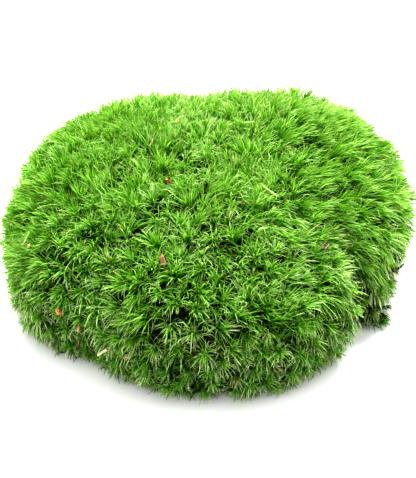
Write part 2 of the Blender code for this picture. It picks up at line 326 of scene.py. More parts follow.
@dataclass(frozen=True)
class MossLeafFinish(Finish):
    """Living moss leaf: one cell thick and waxy, so it is glossy green, darker at its base and paler towards
    its thin tip. The dark base is partly painted shade from deep in the shoot, and the pale tip partly a
    painted highlight.

    The colour comes only from the leaf's place on the palette: along the leaf one way, and its tone the
    other way, from a near-black row that is painted shade, by young, full-grown and old to dead. The old row's
    pale tips also stand as a painted sheen on the outer leaves of open shoots. Rows of cells streak it
    lengthwise. The real ones, 0.01 mm apart, are too fine to show, so the streaks are drawn about half a leaf
    wide. The light that passes through the leaf comes out brighter and a little yellower.
    """

    tones: tuple[LeafTone, ...] = (
        # The first row, near-black green, is painted shade for the leaves in the cushion's gaps
        LeafTone(0.00, "#081c00", "#1c5200", "#528c1c"),
        LeafTone(0.25, "#205400", "#408a00", "#8cb04a"),
        LeafTone(0.50, "#1e4a00", "#4d9208", "#b2ca84"),
        # The old, pale row; its pale tips also give the outer leaves of open shoots a painted sheen
        LeafTone(0.78, "#1c3602", "#90ae60", "#dfe8c4"),
        LeafTone(0.93, "#1c1206", "#4a3616", "#8a7440"),
        LeafTone(1.00, "#120b04", "#33230e", "#5c4824"),
    )
    roughness: float = 0.45
    specular: float = 0.3
    see_through: float = 0.45
    through_hue: float = 0.487
    through_value: float = 1.25
    cells: Triple = (3.0, 70.0, 1.0)
    streak: float = 0.16

    def material(self) -> bpy.types.Material:
        """Makes the material.

        Returns:
            The material, with all its nodes.
        """
        material, tree, surface = new_material("moss_leaf_waxy_living_painted_shade", self.roughness, self.specular)
        place = add_node(tree, "UVMap", {}, uv_map=BAKE_UV).outputs["UV"]
        parts = add_node(tree, "SeparateXYZ", {"Vector": place}).outputs
        base, blade, tip = (
            add_node(
                tree,
                "ValToRGB",
                {"Fac": parts["Y"]},
                [(tone.place, getattr(tone, part)) for tone in self.tones],
            ).outputs["Color"]
            for part in ("base", "blade", "tip")
        )
        # Darker towards the base, partly painted shade deep in the shoot; paler towards the tip, partly a
        # painted highlight
        off_base = add_node(tree, "MapRange", {"Value": parts["X"], "From Min": 0.02, "From Max": 0.35})
        to_tip = add_node(tree, "MapRange", {"Value": parts["X"], "From Min": 0.5, "From Max": 1.0})
        lower = add_node(tree, "Mix", {0: off_base.outputs[0], 6: base, 7: blade}, data_type="RGBA")
        whole = add_node(tree, "Mix", {0: to_tip.outputs[0], 6: lower.outputs[2], 7: tip}, data_type="RGBA")
        grain = add_node(tree, "Mapping", {"Vector": place, "Scale": self.cells})
        rows = add_node(tree, "TexNoise", {"Vector": grain.outputs[0], "Scale": 1.0}, noise_dimensions="2D")
        streaks = {
            "Value": rows.outputs[0],
            "From Min": 0.3,
            "From Max": 0.7,
            "To Min": 1 - self.streak,
            "To Max": 1 + self.streak,
        }
        value = add_node(tree, "MapRange", streaks).outputs[0]
        shade = add_node(tree, "HueSaturation", {"Value": value, "Color": whole.outputs[2]}).outputs[0]
        tree.links.new(shade, surface.inputs["Base Color"])
        through = {"Hue": self.through_hue, "Saturation": 1.0, "Value": self.through_value, "Color": shade}
        lit = add_node(tree, "HueSaturation", through)
        glow = add_node(tree, "BsdfTranslucent", {"Color": lit.outputs[0]})
        both = {0: self.see_through, 1: surface.outputs[0], 2: glow.outputs[0]}
        mixed = add_node(tree, "MixShader", both)
        tree.links.new(mixed.outputs[0], tree.nodes["Material Output"].inputs["Surface"])
        return material


@dataclass(frozen=True)
class ThatchFinish(Finish):
    """Dead stems and rotting leaves deep in the cushion: matte, dark brown with olive, taken down to
    near-black green as painted shade of the deep cushion.
    """

    # Dark brown and olive of dead stems, darkened towards black green as painted shade
    dark: str = "#071202"
    brown: str = "#182406"
    olive: str = "#244a08"
    strand: float = 1.2 * MM
    relief: float = 0.6 * MM

    def material(self) -> bpy.types.Material:
        """Makes the material.

        Returns:
            The material, with all its nodes.
        """
        material, tree, surface = new_material("moss_thatch_dead_stems_painted_shade", 0.9, 0.1)
        place = add_node(tree, "TexCoord", {}).outputs["Object"]
        strands = add_node(tree, "TexNoise", {"Vector": place, "Scale": 1 / self.strand}).outputs[0]
        stops = [(0.35, self.dark), (0.55, self.brown), (0.75, self.olive)]
        colour = add_node(tree, "ValToRGB", {"Fac": strands}, stops)
        bump = add_node(tree, "Bump", {"Height": strands, "Distance": self.relief})
        tree.links.new(colour.outputs["Color"], surface.inputs["Base Color"])
        tree.links.new(bump.outputs[0], surface.inputs["Normal"])
        return material


CUT_LINE = 0.03


@dataclass(frozen=True)
class DryPlantFinish(Finish):
    """A dead, dry scrap of a plant: matte fibres along its length, with paler or darker blotches.

    The colour comes only from the place on the palette: along the scrap, and across it or round it. Below
    the palette's cut line lie its broken ends and its hollow. Fibres, bands and blotches are counted over
    the scrap's whole width or length. The real fibres, under 0.1 mm, are too fine to show, so they are
    drawn from 0.3 to 1 mm wide.
    """

    name: str
    fibre_dark: str
    fibre: str
    fibre_pale: str
    speck: str
    speck_share: float
    edge: str
    cut: str
    fibres: float
    bands: float
    roughness: float = 0.75
    specular: float = 0.2
    midrib: str = ""
    blotches: float = 7.0
    relief: float = 0.15 * MM
    noise_range: Span = (0.32, 0.68)

    def material(self) -> bpy.types.Material:
        """Makes the material.

        Returns:
            The material, with all its nodes.
        """
        material, tree, surface = new_material(self.name, self.roughness, self.specular)
        place = add_node(tree, "UVMap", {}, uv_map=BAKE_UV).outputs["UV"]
        parts = add_node(tree, "SeparateXYZ", {"Vector": place}).outputs
        stretched = add_node(tree, "Mapping", {"Vector": place, "Scale": (self.bands, self.fibres, 1)})
        threads = {"Vector": stretched.outputs[0], "Scale": 1.0, "Detail": 3.0}
        grain = add_node(tree, "TexNoise", threads, noise_dimensions="2D").outputs[0]
        low, high = self.noise_range
        stops = [(low, self.fibre_dark), (0.5, self.fibre), (high, self.fibre_pale)]
        colour = add_node(tree, "ValToRGB", {"Fac": grain}, stops).outputs["Color"]
        spots = {"Vector": place, "Scale": self.blotches, "Detail": 2.0}
        cloud = add_node(tree, "TexNoise", spots, noise_dimensions="2D").outputs[0]
        off_middle = add_node(tree, "Math", {0: parts["Y"], 1: 0.5}, operation="SUBTRACT").outputs[0]
        outward = add_node(tree, "Math", {0: off_middle}, operation="ABSOLUTE").outputs[0]
        limit = high - (high - low) * self.speck_share
        specks = {"Value": cloud, "From Min": limit, "From Max": limit + 0.08}
        rim = {"Value": outward, "From Min": 0.34, "From Max": 0.46}
        layers = [
            (add_node(tree, "MapRange", specks), self.speck),
            (add_node(tree, "MapRange", rim), self.edge),
            (add_node(tree, "Math", {0: parts["X"], 1: CUT_LINE}, operation="LESS_THAN"), self.cut),
        ]
        if self.midrib:
            line = {"Value": outward, "From Min": 0.2, "From Max": 0.08}
            layers.append((add_node(tree, "MapRange", line), self.midrib))
        for share, hex_colour in layers:
            over = {0: share.outputs[0], 6: colour, 7: linear(hex_colour)}
            colour = add_node(tree, "Mix", over, data_type="RGBA").outputs[2]
        bump = add_node(tree, "Bump", {"Height": grain, "Strength": 0.6, "Distance": self.relief})
        tree.links.new(colour, surface.inputs["Base Color"])
        tree.links.new(bump.outputs[0], surface.inputs["Normal"])
        return material


# Papery brown bud scale: dark red-brown veins between tan strips, with a faint gloss
BUD_SCALE = DryPlantFinish(
    "bud_scale_papery_dry", "#562c18", "#8e5c3e", "#b88c68", "#642e18", 0.3, "#a4805e", "#3a1e12",
    fibres=6.0, bands=1.0, roughness=0.6, specular=0.35, midrib="#4a1608",
)
# Peeled pine bark: orange-brown corky layers with pale and dark flecks, fully matte
PINE_BARK = DryPlantFinish(
    "pine_bark_peeled", "#56300e", "#9a642a", "#c29050", "#dcc090", 0.34, "#6a4824", "#3c2410",
    fibres=3.0, bands=3.0,
)
# Older bark: the same layers, greyer and tan
TAN_BARK = DryPlantFinish(
    "pine_bark_weathered_tan", "#4c3418", "#80653c", "#a88c60", "#c2ae86", 0.3, "#665030", "#382814",
    fibres=3.0, bands=3.0,
)
# Decayed bark crumb: darker and redder, with a dusty pale bloom
RED_BARK = DryPlantFinish(
    "bark_decayed_red", "#4a2410", "#86501e", "#a87438", "#c09660", 0.25, "#40280e", "#241408",
    fibres=3.0, bands=3.0,
)
# Bleached straw: cream, lengthwise fibres, a slight gloss
STRAW_CREAM = DryPlantFinish(
    "straw_bleached_cream", "#928a60", "#bcb488", "#dad6b2", "#a89e72", 0.2, "#bcb488", "#8a7e50",
    fibres=9.0, bands=1.0, roughness=0.55, specular=0.35,
)
# Fresher straw: pale yellow with some green left in it
STRAW_YELLOW = DryPlantFinish(
    "straw_dry_yellow", "#7c9a44", "#9aba62", "#b8d088", "#8ca458", 0.3, "#84a850", "#748244",
    fibres=8.0, bands=1.0, roughness=0.55, specular=0.35,
)
# Papery dry scale: dull yellow, thin rim
DRY_SCALE = DryPlantFinish(
    "leaf_scale_papery", "#6a683c", "#868450", "#9e9c6c", "#726a3c", 0.25, "#7c7a48", "#545028",
    fibres=5.0, bands=1.5,
)
# Rotted leaf scrap: grey-brown with pale mould specks
ROTTED_LEAF = DryPlantFinish(
    "leaf_rotted_grey", "#30281a", "#5c5240", "#807458", "#b4ab8c", 0.35, "#4a4230", "#242014",
    fibres=4.0, bands=3.0,
)
# Curled dry leaf: brown, with bleached rolled edges
CURLED_LEAF = DryPlantFinish(
    "leaf_curled_dry", "#261a0e", "#4e3824", "#725a3a", "#302314", 0.2, "#98896a", "#241a0e",
    fibres=4.0, bands=2.0, roughness=0.65, specular=0.3,
)
# Dead twig: weathered grey-brown bark with dark cracks
TWIG_BARK = DryPlantFinish(
    "twig_bark_weathered", "#16100a", "#342c1c", "#5a5236", "#241710", 0.35, "#342c1c", "#5c452c",
    fibres=6.0, bands=3.0,
)
# Dead moss stalk: brown, woody
BROWN_STALK = DryPlantFinish(
    "stalk_dead_brown", "#2c1e0c", "#573a16", "#785a2e", "#402a10", 0.3, "#573a16", "#30200c",
    fibres=6.0, bands=2.0,
)


@dataclass(frozen=True)
class HumusFinish(Finish):
    """Humus: moist crumbs, matte and dark brown, darker where damp, with the pale ends of cut stems below."""

    dark: str = "#120a05"
    brown: str = "#33200f"
    pale: str = "#5f4526"
    stem: str = "#7c6138"
    crumb: float = 1.6 * MM
    stem_spacing: float = 3.0 * MM
    damp_patch: float = 16.0 * MM
    damp_value: Span = (0.6, 1.25)
    relief: float = 0.8 * MM

    def material(self) -> bpy.types.Material:
        """Makes the material.

        Returns:
            The material, with all its nodes.
        """
        material, tree, surface = new_material("humus_moist_crumbly", 0.95, 0.1)
        place = add_node(tree, "TexCoord", {}).outputs["Object"]
        fine = {"Vector": place, "Scale": 1 / self.crumb, "Detail": 4.0}
        crumbs = add_node(tree, "TexNoise", fine).outputs[0]
        stops = [(0.36, self.dark), (0.52, self.brown), (0.72, self.pale)]
        colour = add_node(tree, "ValToRGB", {"Fac": crumbs}, stops).outputs["Color"]
        stems = add_node(tree, "TexVoronoi", {"Vector": place, "Scale": 1 / self.stem_spacing})
        dots = {"Value": stems.outputs["Distance"], "From Min": 0.2, "From Max": 0.12}
        dotted = add_node(tree, "MapRange", dots).outputs[0]
        whole = add_node(tree, "Mix", {0: dotted, 6: colour, 7: linear(self.stem)}, data_type="RGBA")
        damp = add_node(tree, "TexNoise", {"Vector": place, "Scale": 1 / self.damp_patch}).outputs[0]
        wet, dry = self.damp_value
        wetness = {"Value": damp, "From Min": 0.38, "From Max": 0.62, "To Min": wet, "To Max": dry}
        value = add_node(tree, "MapRange", wetness).outputs[0]
        shaded = add_node(tree, "HueSaturation", {"Value": value, "Color": whole.outputs[2]})
        bump = add_node(tree, "Bump", {"Height": crumbs, "Distance": self.relief})
        tree.links.new(shaded.outputs[0], surface.inputs["Base Color"])
        tree.links.new(bump.outputs[0], surface.inputs["Normal"])
        return material


# ---------------------------------------------------------------- the cushion's form


class Sector(Enum):
    """The sectors that the shoots are joined in, going round from the left by the front."""

    LEFT = 0
    FRONT = 1
    RIGHT = 2
    BACK_RIGHT = 3
    BACK_LEFT = 4


@dataclass(frozen=True)
class Patch:
    """A round patch of the cushion: its middle, and the distance over which it fades."""

    middle: tuple[float, ...]
    reach: float

    def share(self, points: Array) -> Array:
        """How much of the patch's effect each point gets.

        Args:
            points: Places, one a row. Only as many coordinates count as the middle has.

        Returns:
            One share for each point, from 0 to 1.
        """
        away = ((points[:, : len(self.middle)] - self.middle) ** 2).sum(1) / self.reach**2
        return np.exp(-away)


@dataclass(frozen=True)
class Comb(Patch):
    """A patch of the cushion where the leaves are swept to one side."""

    towards: Triple
    strength: float


COMBS = (
    Comb((85 * MM, 10 * MM), 42 * MM, (1.0, 0.0, -0.15), 1.0),
    Comb((62 * MM, 55 * MM), 36 * MM, (0.9, 0.2, 0.2), 0.8),
    Comb((70 * MM, -45 * MM), 36 * MM, (0.9, -0.3, -0.5), 0.6),
    Comb((30 * MM, -60 * MM), 34 * MM, (0.7, -0.3, -0.4), 0.4),
    Comb((70 * MM, -45 * MM), 15 * MM, (-0.7, 0.2, -0.7), 1.0),
    Comb((81 * MM, -30 * MM), 12 * MM, (0.1, -1.0, -0.3), 1.1),
    Comb((-88 * MM, 20 * MM), 40 * MM, (-0.6, 0.0, 0.5), 0.5),
    Comb((-80 * MM, -45 * MM), 34 * MM, (-0.8, -0.2, -0.3), 0.5),
    Comb((-20 * MM, -85 * MM), 36 * MM, (-0.1, -0.5, -0.7), 0.4),
)


@dataclass(frozen=True)
class Trim(Patch):
    """A stretch of the cushion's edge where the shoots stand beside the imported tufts, by so far each way."""

    aside: float
    behind: float


TRIMS = (
    Trim((-72 * MM, -52 * MM), 24 * MM, 4.0 * MM, 2.9 * MM),
    Trim((-92 * MM, -20 * MM), 20 * MM, 1.2 * MM, 0.3 * MM),
    Trim((-80 * MM, 40 * MM), 40 * MM, 2.2 * MM, -1.1 * MM),
    Trim((-10 * MM, 88 * MM), 50 * MM, 0.2 * MM, -2.0 * MM),
    Trim((80 * MM, 60 * MM), 18 * MM, -2.5 * MM, -3.5 * MM),
    Trim((93 * MM, 22 * MM), 34 * MM, -2.3 * MM, -0.5 * MM),
    Trim((72 * MM, -44 * MM), 14 * MM, -8.5 * MM, 5.2 * MM),
    Trim((84 * MM, -30 * MM), 11 * MM, 2.0 * MM, -8.0 * MM),
)


def trimmed(points: Array) -> Array:
    """Moves points at the cushion's edge, as its stretches are trimmed.

    Args:
        points: Triples on or in the cushion.

    Returns:
        The moved points.
    """
    moved = points.copy()
    for trim in TRIMS:
        moved[:, :2] += trim.share(points)[:, None] * (trim.aside, trim.behind)
    return moved


@dataclass(frozen=True)
class Tint(Patch):
    """A patch of the cushion where the leaves' tone changes by some amount: it serves both for painted shade,
    where the tone is darker, and for dead brown leaves.
    """

    amount: float


# Painted shade: how much darker the leaves' tone is on the cushion's sides, which the light from the top
# and back reaches less
PAINTED_SHADE_PATCHES = (
    Tint((-60 * MM, 45 * MM), 38 * MM, 0.13),
    Tint((-82 * MM, 0 * MM), 36 * MM, 0.12),
    Tint((-80 * MM, -28 * MM), 26 * MM, 0.1),
    Tint((62 * MM, 5 * MM), 34 * MM, 0.12),
    Tint((85 * MM, 40 * MM), 26 * MM, 0.04),
)
# The share of leaves that are dead and brown; their dark brown in the undercut lobe and low on the fringe
# also serves as painted shade
DEAD_LEAF_AND_SHADE_PATCHES = (
    Tint((80 * MM, -28 * MM, 14 * MM), 11 * MM, 0.06),
    Tint((86 * MM, -26 * MM, 6 * MM), 12 * MM, 0.1),
    Tint((68 * MM, -38 * MM, 5 * MM), 8 * MM, 0.1),
    Tint((-57 * MM, -60 * MM, 3 * MM), 9 * MM, 0.14),
    Tint((-66 * MM, -55 * MM, 3 * MM), 7 * MM, 0.14),
    Tint((-10 * MM, -85 * MM, 2 * MM), 9 * MM, 0.14),
)


def total_of(tints: Sequence[Tint], points: Array) -> Array:
    """The tints' amounts at each point, added up.

    Args:
        tints: The patches.
        points: Places, one a row.

    Returns:
        One amount for each point.
    """
    total = np.zeros(len(points))
    for tint in tints:
        total += tint.amount * tint.share(points)
    return total


@dataclass(frozen=True)
class Flow:
    """A random drift from patch to patch over the cushion, as in the way that neighbouring shoots lean."""

    patch: float = 30 * MM
    strength: float = 0.3
    waves: int = 9
    pace: Span = (0.6, 1.6)
    seed: int = 23

    def at(self, points: Array) -> Array:
        """The drift at some points.

        Args:
            points: Places, one a row.

        Returns:
            One vector for each point.
        """
        rng = np.random.default_rng(self.seed)
        waves = unit(rng.normal(0, 1, (3, self.waves, 3))) * 2 * pi / self.patch
        waves *= rng.uniform(*self.pace, (3, self.waves, 1))
        phases = rng.uniform(0, 2 * pi, (3, self.waves))
        lean = [np.sin(points @ waves[i].T + phases[i]).sum(1) for i in range(3)]
        return np.stack(lean, 1) * self.strength * (2 / self.waves) ** 0.5


def swept(points: Array, axes: Array, rng: Random, stray: float) -> Array:
    """How the leaves at each point are swept to one side.

    Args:
        points: The shoots' tips.
        axes: The shoots' directions.
        rng: The source of the stray part.
        stray: How much each shoot strays from its neighbours.

    Returns:
        One vector a shoot, square to its axis, whose length is the strength.
    """
    total = rng.normal(0, stray, points.shape) + Flow().at(points)
    for comb in COMBS:
        direction = np.array(comb.towards) / np.linalg.norm(comb.towards)
        total += comb.share(points)[:, None] * direction * comb.strength
    return total - axes * (total * axes).sum(1, keepdims=True)


WELD_STEP = 0.01 * MM
TUFT_PROMINENCE = 2.4 * MM
FRINGE_LEVEL = 3.0 * MM
TIPS_ROUND_A_GAP = 3
RAY_START = 200 * MM
CORE_RADIUS = 50 * MM


@dataclass
class CushionForm:
    """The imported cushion, read as places where shoots grow."""

    vertices: Array
    triangles: Array
    normals: Array
    around: Array
    prominence: Array
    tips: Array
    gaps: Array
    over_gaps: Array

    @classmethod
    def read(cls, node: str) -> "CushionForm":
        """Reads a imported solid.

        Args:
            node: The solid's name.

        Returns:
            Its joined-up form.
        """
        points = packed_points(node)
        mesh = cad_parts[node].data
        mesh.calc_loop_triangles()
        corners = np.zeros(len(mesh.loop_triangles) * 3, np.int32)
        mesh.loop_triangles.foreach_get("vertices", corners)
        _, first, joined = np.unique(
            np.round(points / WELD_STEP), axis=0, return_index=True, return_inverse=True
        )
        vertices = points[first]
        triangles = joined.ravel()[corners].reshape(-1, 3)
        a, b, c = (vertices[triangles[:, i]] for i in range(3))
        face_normals = np.cross(b - a, c - a)
        normals = np.zeros_like(vertices)
        around = np.zeros_like(vertices)
        count = np.zeros(len(vertices))
        for i in range(3):
            np.add.at(normals, triangles[:, i], face_normals)
            for j in (1, 2):
                np.add.at(around, triangles[:, i], vertices[triangles[:, (i + j) % 3]])
                np.add.at(count, triangles[:, i], 1)
        normals = unit(normals)
        around /= count[:, None]
        prominence = ((vertices - around) * normals).sum(1)
        raised = vertices[:, 2] > FRINGE_LEVEL
        is_tip = (prominence > TUFT_PROMINENCE) & raised
        tip_sum = np.zeros_like(vertices)
        tip_count = np.zeros(len(vertices))
        for i in range(3):
            for j in (1, 2):
                here, other = triangles[:, i], triangles[:, (i + j) % 3]
                np.add.at(tip_sum, here, vertices[other] * is_tip[other, None])
                np.add.at(tip_count, here, is_tip[other])
        gaps = np.flatnonzero(~is_tip & (tip_count >= TIPS_ROUND_A_GAP) & raised)
        over_gaps = tip_sum[gaps] / tip_count[gaps, None]
        log.info("%d tips, %d gaps", is_tip.sum(), len(gaps))
        return cls(vertices, triangles, normals, around, prominence, np.flatnonzero(is_tip), gaps, over_gaps)

    def outline(self, level: float, spacing: float) -> Array:
        """Points round the cushion's outside at one level.

        Args:
            level: Height above the ground.
            spacing: The distance between two points.

        Returns:
            The points, one a row.
        """
        surface = BVHTree.FromPolygons(self.vertices.tolist(), self.triangles.tolist())
        number = int(2 * pi * float(np.abs(self.vertices[:, :2]).max()) / spacing)
        hits = []
        for turn in ring_of(number):
            outward = Vector((cos(turn), sin(turn), 0))
            hit = surface.ray_cast(outward * RAY_START + Vector((0, 0, level)), -outward)[0]
            if hit is not None and hit.xy.length > CORE_RADIUS:
                hits.append(hit)
        return np.array(hits).reshape(-1, 3)


# ---------------------------------------------------------------- the shoots


@dataclass(frozen=True)
class ShootKind:
    """What the shoots of one kind have in common.

    Where leaf_stray is given, a close shoot has the first number of leaves and an open one the second, times
    a random share in that range, and its spread opens too. Otherwise the number is drawn between the two.
    The other ranges go from least to most.
    """

    leaves: tuple[int, int]
    size: Span
    tone: float
    tone_stray: float
    tone_limits: Span
    depth: float
    spread: Span
    leaf_stray: Span | None = None
    # How much darker an open shoot's tone is: painted shade for open fillers deep in their gaps
    open_painted_shade: float = 0.0


HEAD = ShootKind((58, 70), (0.86, 1.16), 0.27, 0.07, (0.05, 0.45), 1.0, (0.85, 1.15), (0.88, 1.12))
FILLER = ShootKind((29, 18), (0.7, 1.0), 0.3, 0.08, (0.0, 0.45), 0.9, (0.9, 1.25), (0.85, 1.15), 0.25)
BEDDING = ShootKind((12, 18), (0.5, 0.75), 0.25, 0.12, (0.05, 0.8), 0.9, (0.9, 1.3))
HEM = ShootKind((9, 14), (0.6, 0.8), 0.5, 0.08, (0.02, 0.6), 0.95, (0.85, 1.2))
FOOT = ShootKind((38, 46), (0.8, 1.0), 0.5, 0.08, (0.02, 0.6), 0.95, (0.85, 1.2))


@dataclass
class ShootPlan:
    """Where shoots stand and how they grow, one row for each shoot."""

    tip: Array
    axis: Array
    sweep: Array
    size: Array
    leaves: Array
    tone: Array
    depth: Array
    spread: Array
    open: Array

    def part(self, rows: Array) -> "ShootPlan":
        """The plan of only some shoots."""
        return ShootPlan(*(getattr(self, name)[rows] for name in self.__dataclass_fields__))

    @staticmethod
    def join(plans: Sequence["ShootPlan"]) -> "ShootPlan":
        """One plan out of several."""
        names = ShootPlan.__dataclass_fields__
        return ShootPlan(*(np.concatenate([getattr(plan, name) for plan in plans]) for name in names))


@dataclass
class LeafBlade:
    """The broom moss leaf: lance-shaped, keeled along the middle, with a long drawn-out point."""

    stations: tuple[float, ...]
    widths: tuple[float, ...]
    keel: float = 0.38
    palette_width: float = 0.006
    palette_limits: Span = (0.02, 0.98)

    @property
    def points(self) -> int:
        """How many points one leaf has."""
        return 3 * len(self.stations) + 1

    def faces(self) -> tuple[Array, Array]:
        """The faces of one leaf.

        Returns:
            The corners of all faces, one face after another, and how many corners each face has.
        """
        corners: list[int] = []
        sizes: list[int] = []
        last = len(self.stations) - 1
        for row in range(last):
            for side in (0, 1):
                here, ahead = 3 * row + side, 3 * row + 3 + side
                corners += [here, here + 1, ahead + 1, ahead]
                sizes.append(4)
        for side in (0, 1):
            corners += [3 * last + side, 3 * last + side + 1, self.points - 1]
            sizes.append(3)
        return np.array(corners), np.array(sizes)

    def palette(self, tones: Array) -> Array:
        """Each point's place on the palette.

        Args:
            tones: The leaves' tones from 0 to 1.

        Returns:
            For each leaf and point, how far along the leaf it is, and the tone.
        """
        low, high = self.palette_limits
        along = np.append(np.repeat(self.stations, 3), 1.0)
        across = np.append(np.tile((-1.0, 0.0, 1.0), len(self.stations)), 0.0) * self.palette_width
        spots = np.empty((len(tones), self.points, 2))
        spots[:, :, 0] = 0.01 + 0.98 * along
        spots[:, :, 1] = np.clip(tones[:, None], low, high) + across
        return spots


ARCHED_BLADE = LeafBlade((0.0, 0.25, 0.52, 0.8), (0.7, 0.95, 1.0, 0.68))
PLAIN_BLADE = LeafBlade((0.0, 0.3, 0.66), (0.8, 1.0, 0.66))
ARCHED_WEIGHT = 1.4


@dataclass(frozen=True)
class FringeRow:
    """One row of shoots round the cushion's foot, which is too low for tufts of its own."""

    level: float
    spacing: float
    kind: ShootKind
    tilt: float
    sag: float
    inset: float


FRINGE = (
    FringeRow(2.8 * MM, 4.6 * MM, HEM, -0.1, 0.4, 2.2 * MM),
    FringeRow(6.5 * MM, 9.0 * MM, FOOT, 0.45, 0.3, -0.4 * MM),
)


@dataclass
class MossShoots(SubAssembly):
    """The living shoots: every tuft's leafy head, with smaller heads in the gaps between them.

    An "open" pair of numbers goes from a shoot that is upright and close to one that is spread wide. A pair
    on a shoot's leaves goes from the lowest leaf to the topmost, and a range goes from least to most.
    """

    form: CushionForm
    nests: Array
    avoid: Array
    finish: MossLeafFinish = field(default_factory=MossLeafFinish)
    seed: int = 5

    # How open the shoots stand: less from one height to the other, and from the front to the back
    open_below: Span = (24 * MM, 52 * MM)
    open_facing: Span = (0.6, 0.8)
    crown_share: float = 0.88
    back_share: float = 0.45
    patches: Flow = Flow(patch=24 * MM, strength=0.08, seed=61)
    open_gap_share: Span = (1.0, 0.6)
    open_lift: Span = (0.35, 0.6)
    open_spread: Span = (0.4, 1.35)
    open_bend: Span = (0.4, 1.4)
    open_length: Span = (1.2, 0.78)
    open_droop: Span = (0.12, 1.0)
    open_recess: float = 3.6 * MM

    # How a shoot stands
    lean: float = 0.16
    foot_lean: float = 0.2
    nest_lean: float = 0.3
    stray: float = 0.2
    sink_range: Span = (-1.2 * MM, 1.4 * MM)
    recess_range: Span = (0.2 * MM, 2.4 * MM)
    foot_stray: float = 1.0 * MM
    foot_lowest: float = 1.2 * MM
    foot_sweep: float = 0.7
    fringe_rows: tuple[FringeRow, ...] = FRINGE
    head_depth: float = 8.0 * MM
    bud_depth: float = 4.6 * MM
    stem_curve: float = 22.0

    # How the dead leaves further down the same stems stand
    dead_leaves: tuple[int, int] = (2, 5)
    dead_sweep: float = 0.3
    dead_size: float = 0.85
    dead_tone_range: Span = (0.8, 1.1)
    dead_depth: float = 1.35
    dead_spread: Span = (1.4, 1.9)

    # How a leaf grows: angles in degrees, and the powers by which things change up the stem or along the leaf
    crowding: float = 1.25
    turn_stray: float = 0.3
    spread: Span = (46.0, 5.0)
    spread_power: float = 1.1
    start_stray: float = 7.0
    recurve: Span = (72.0, 22.0)
    bend_stray: float = 9.0
    bend_power: float = 1.3
    droop: Span = (3.9, 0.3)
    droop_power: float = 0.6
    droop_range: Span = (0.6, 1.3)
    depth_power: float = 0.85
    leaf_length: Span = (11.2 * MM, 6.5 * MM)
    length_stray: float = 0.19
    length_range: Span = (0.5, 1.38)
    open_width: Span = (0.5 * MM, 0.52 * MM)
    width_stray: float = 0.12
    width_by_size: Span = (0.75, 1.0)
    leaf_stray: float = 0.09
    # The sweep to one side where a leaf starts, and what it gains by the tip
    sweep_growth: Span = (0.15, 1.2)
    sweep_power: float = 1.5
    twist: float = 0.3
    scatter: float = 0.7 * MM
    ground: float = 0.4 * MM
    lowest_leaf: float = 0.3 * MM

    # Which tone a leaf has: the lower leaves are the outer ones and the paler ones, and stay short of brown.
    # On open shoots the outer leaves are paler still, partly as a painted sheen, and some take the near-black
    # row as painted shade
    outer_from: float = 0.75
    outer_over: float = 0.45
    open_paleness_and_sheen: Span = (0.12, 0.78)
    leaf_tone_stray: float = 0.08
    palest: float = 0.76
    painted_shade_share: float = 0.5
    painted_shade_tone: Span = (0.0, 0.12)
    browned_share: float = 0.04
    browned_from: float = 0.72
    browned_tone: Span = (0.84, 0.9)
    # What fades out up the stem, and what stays
    dead_share: Span = (0.015, 0.005)
    dead_from: float = 0.8
    dead_tone: Span = (0.94, 1.0)

    def openness(self, tips: Array, axes: Array) -> Array:
        """How open the shoots stand.

        Args:
            tips: Where the shoots end.
            axes: Which way they point.

        Returns:
            For each shoot, from 0 for upright and close, as on the crown, to 1 for spread wide and drooping,
            as low on the front.
        """
        low, high = self.open_below
        height = np.clip((tips[:, 2] - low) / (high - low), 0, 1)
        least, over = self.open_facing
        front = np.clip((least - axes[:, 1]) / over, self.back_share, 1)
        patchy = self.patches.at(tips)[:, 0]
        return np.clip(front * (1 - self.crown_share * height) + patchy, 0, 1)

    def lifted(self, axes: Array, opened: Array) -> Array:
        """The shoots' directions, turned up towards the light."""
        return unit(axes + mix(*self.open_lift, opened)[:, None] * UP)

    def plan(
        self, kind: ShootKind, tips: Array, axes: Array, opened: Array, shade: Array | float, rng: Random
    ) -> ShootPlan:
        """Plans shoots of one kind.

        Args:
            kind: What they have in common.
            tips: Where they end.
            axes: Which way they point.
            opened: How open they stand.
            shade: How much darker their tone is where they stand, as painted shade.
            rng: The source of each shoot's own variation.

        Returns:
            Their plan.
        """
        number = len(tips)
        sweep = swept(tips, axes, rng, self.stray)
        size = rng.uniform(*kind.size, number)
        if kind.leaf_stray is None:
            leaves, openly = rng.integers(*kind.leaves, number), 1.0
        else:
            leaves = np.rint(mix(*kind.leaves, opened) * rng.uniform(*kind.leaf_stray, number)).astype(int)
            openly = mix(*self.open_spread, opened)
        # Painted shade: darker where the cushion's sides get less light, and for open fillers in their gaps
        tone = rng.normal(kind.tone, kind.tone_stray, number) - kind.open_painted_shade * opened - shade
        return ShootPlan(
            tip=tips,
            axis=axes,
            sweep=sweep,
            size=size,
            leaves=leaves,
            tone=np.clip(tone, *kind.tone_limits),
            depth=np.full(number, kind.depth),
            spread=openly * rng.uniform(*kind.spread, number),
            open=opened,
        )

    def heads(self, rng: Random) -> ShootPlan:
        """Plans the tufts' own shoots.

        Args:
            rng: The source of each shoot's own variation.

        Returns:
            Their plan.
        """
        form = self.form
        tips = form.vertices[form.tips]
        axes = unit(unit(tips - form.around[form.tips]) + rng.normal(0, self.lean, tips.shape))
        opened = self.openness(tips, axes)
        axes = self.lifted(axes, opened)
        tips = trimmed(tips) - axes * rng.uniform(*self.sink_range, (len(tips), 1))
        return self.plan(HEAD, tips, axes, opened, total_of(PAINTED_SHADE_PATCHES, tips), rng)

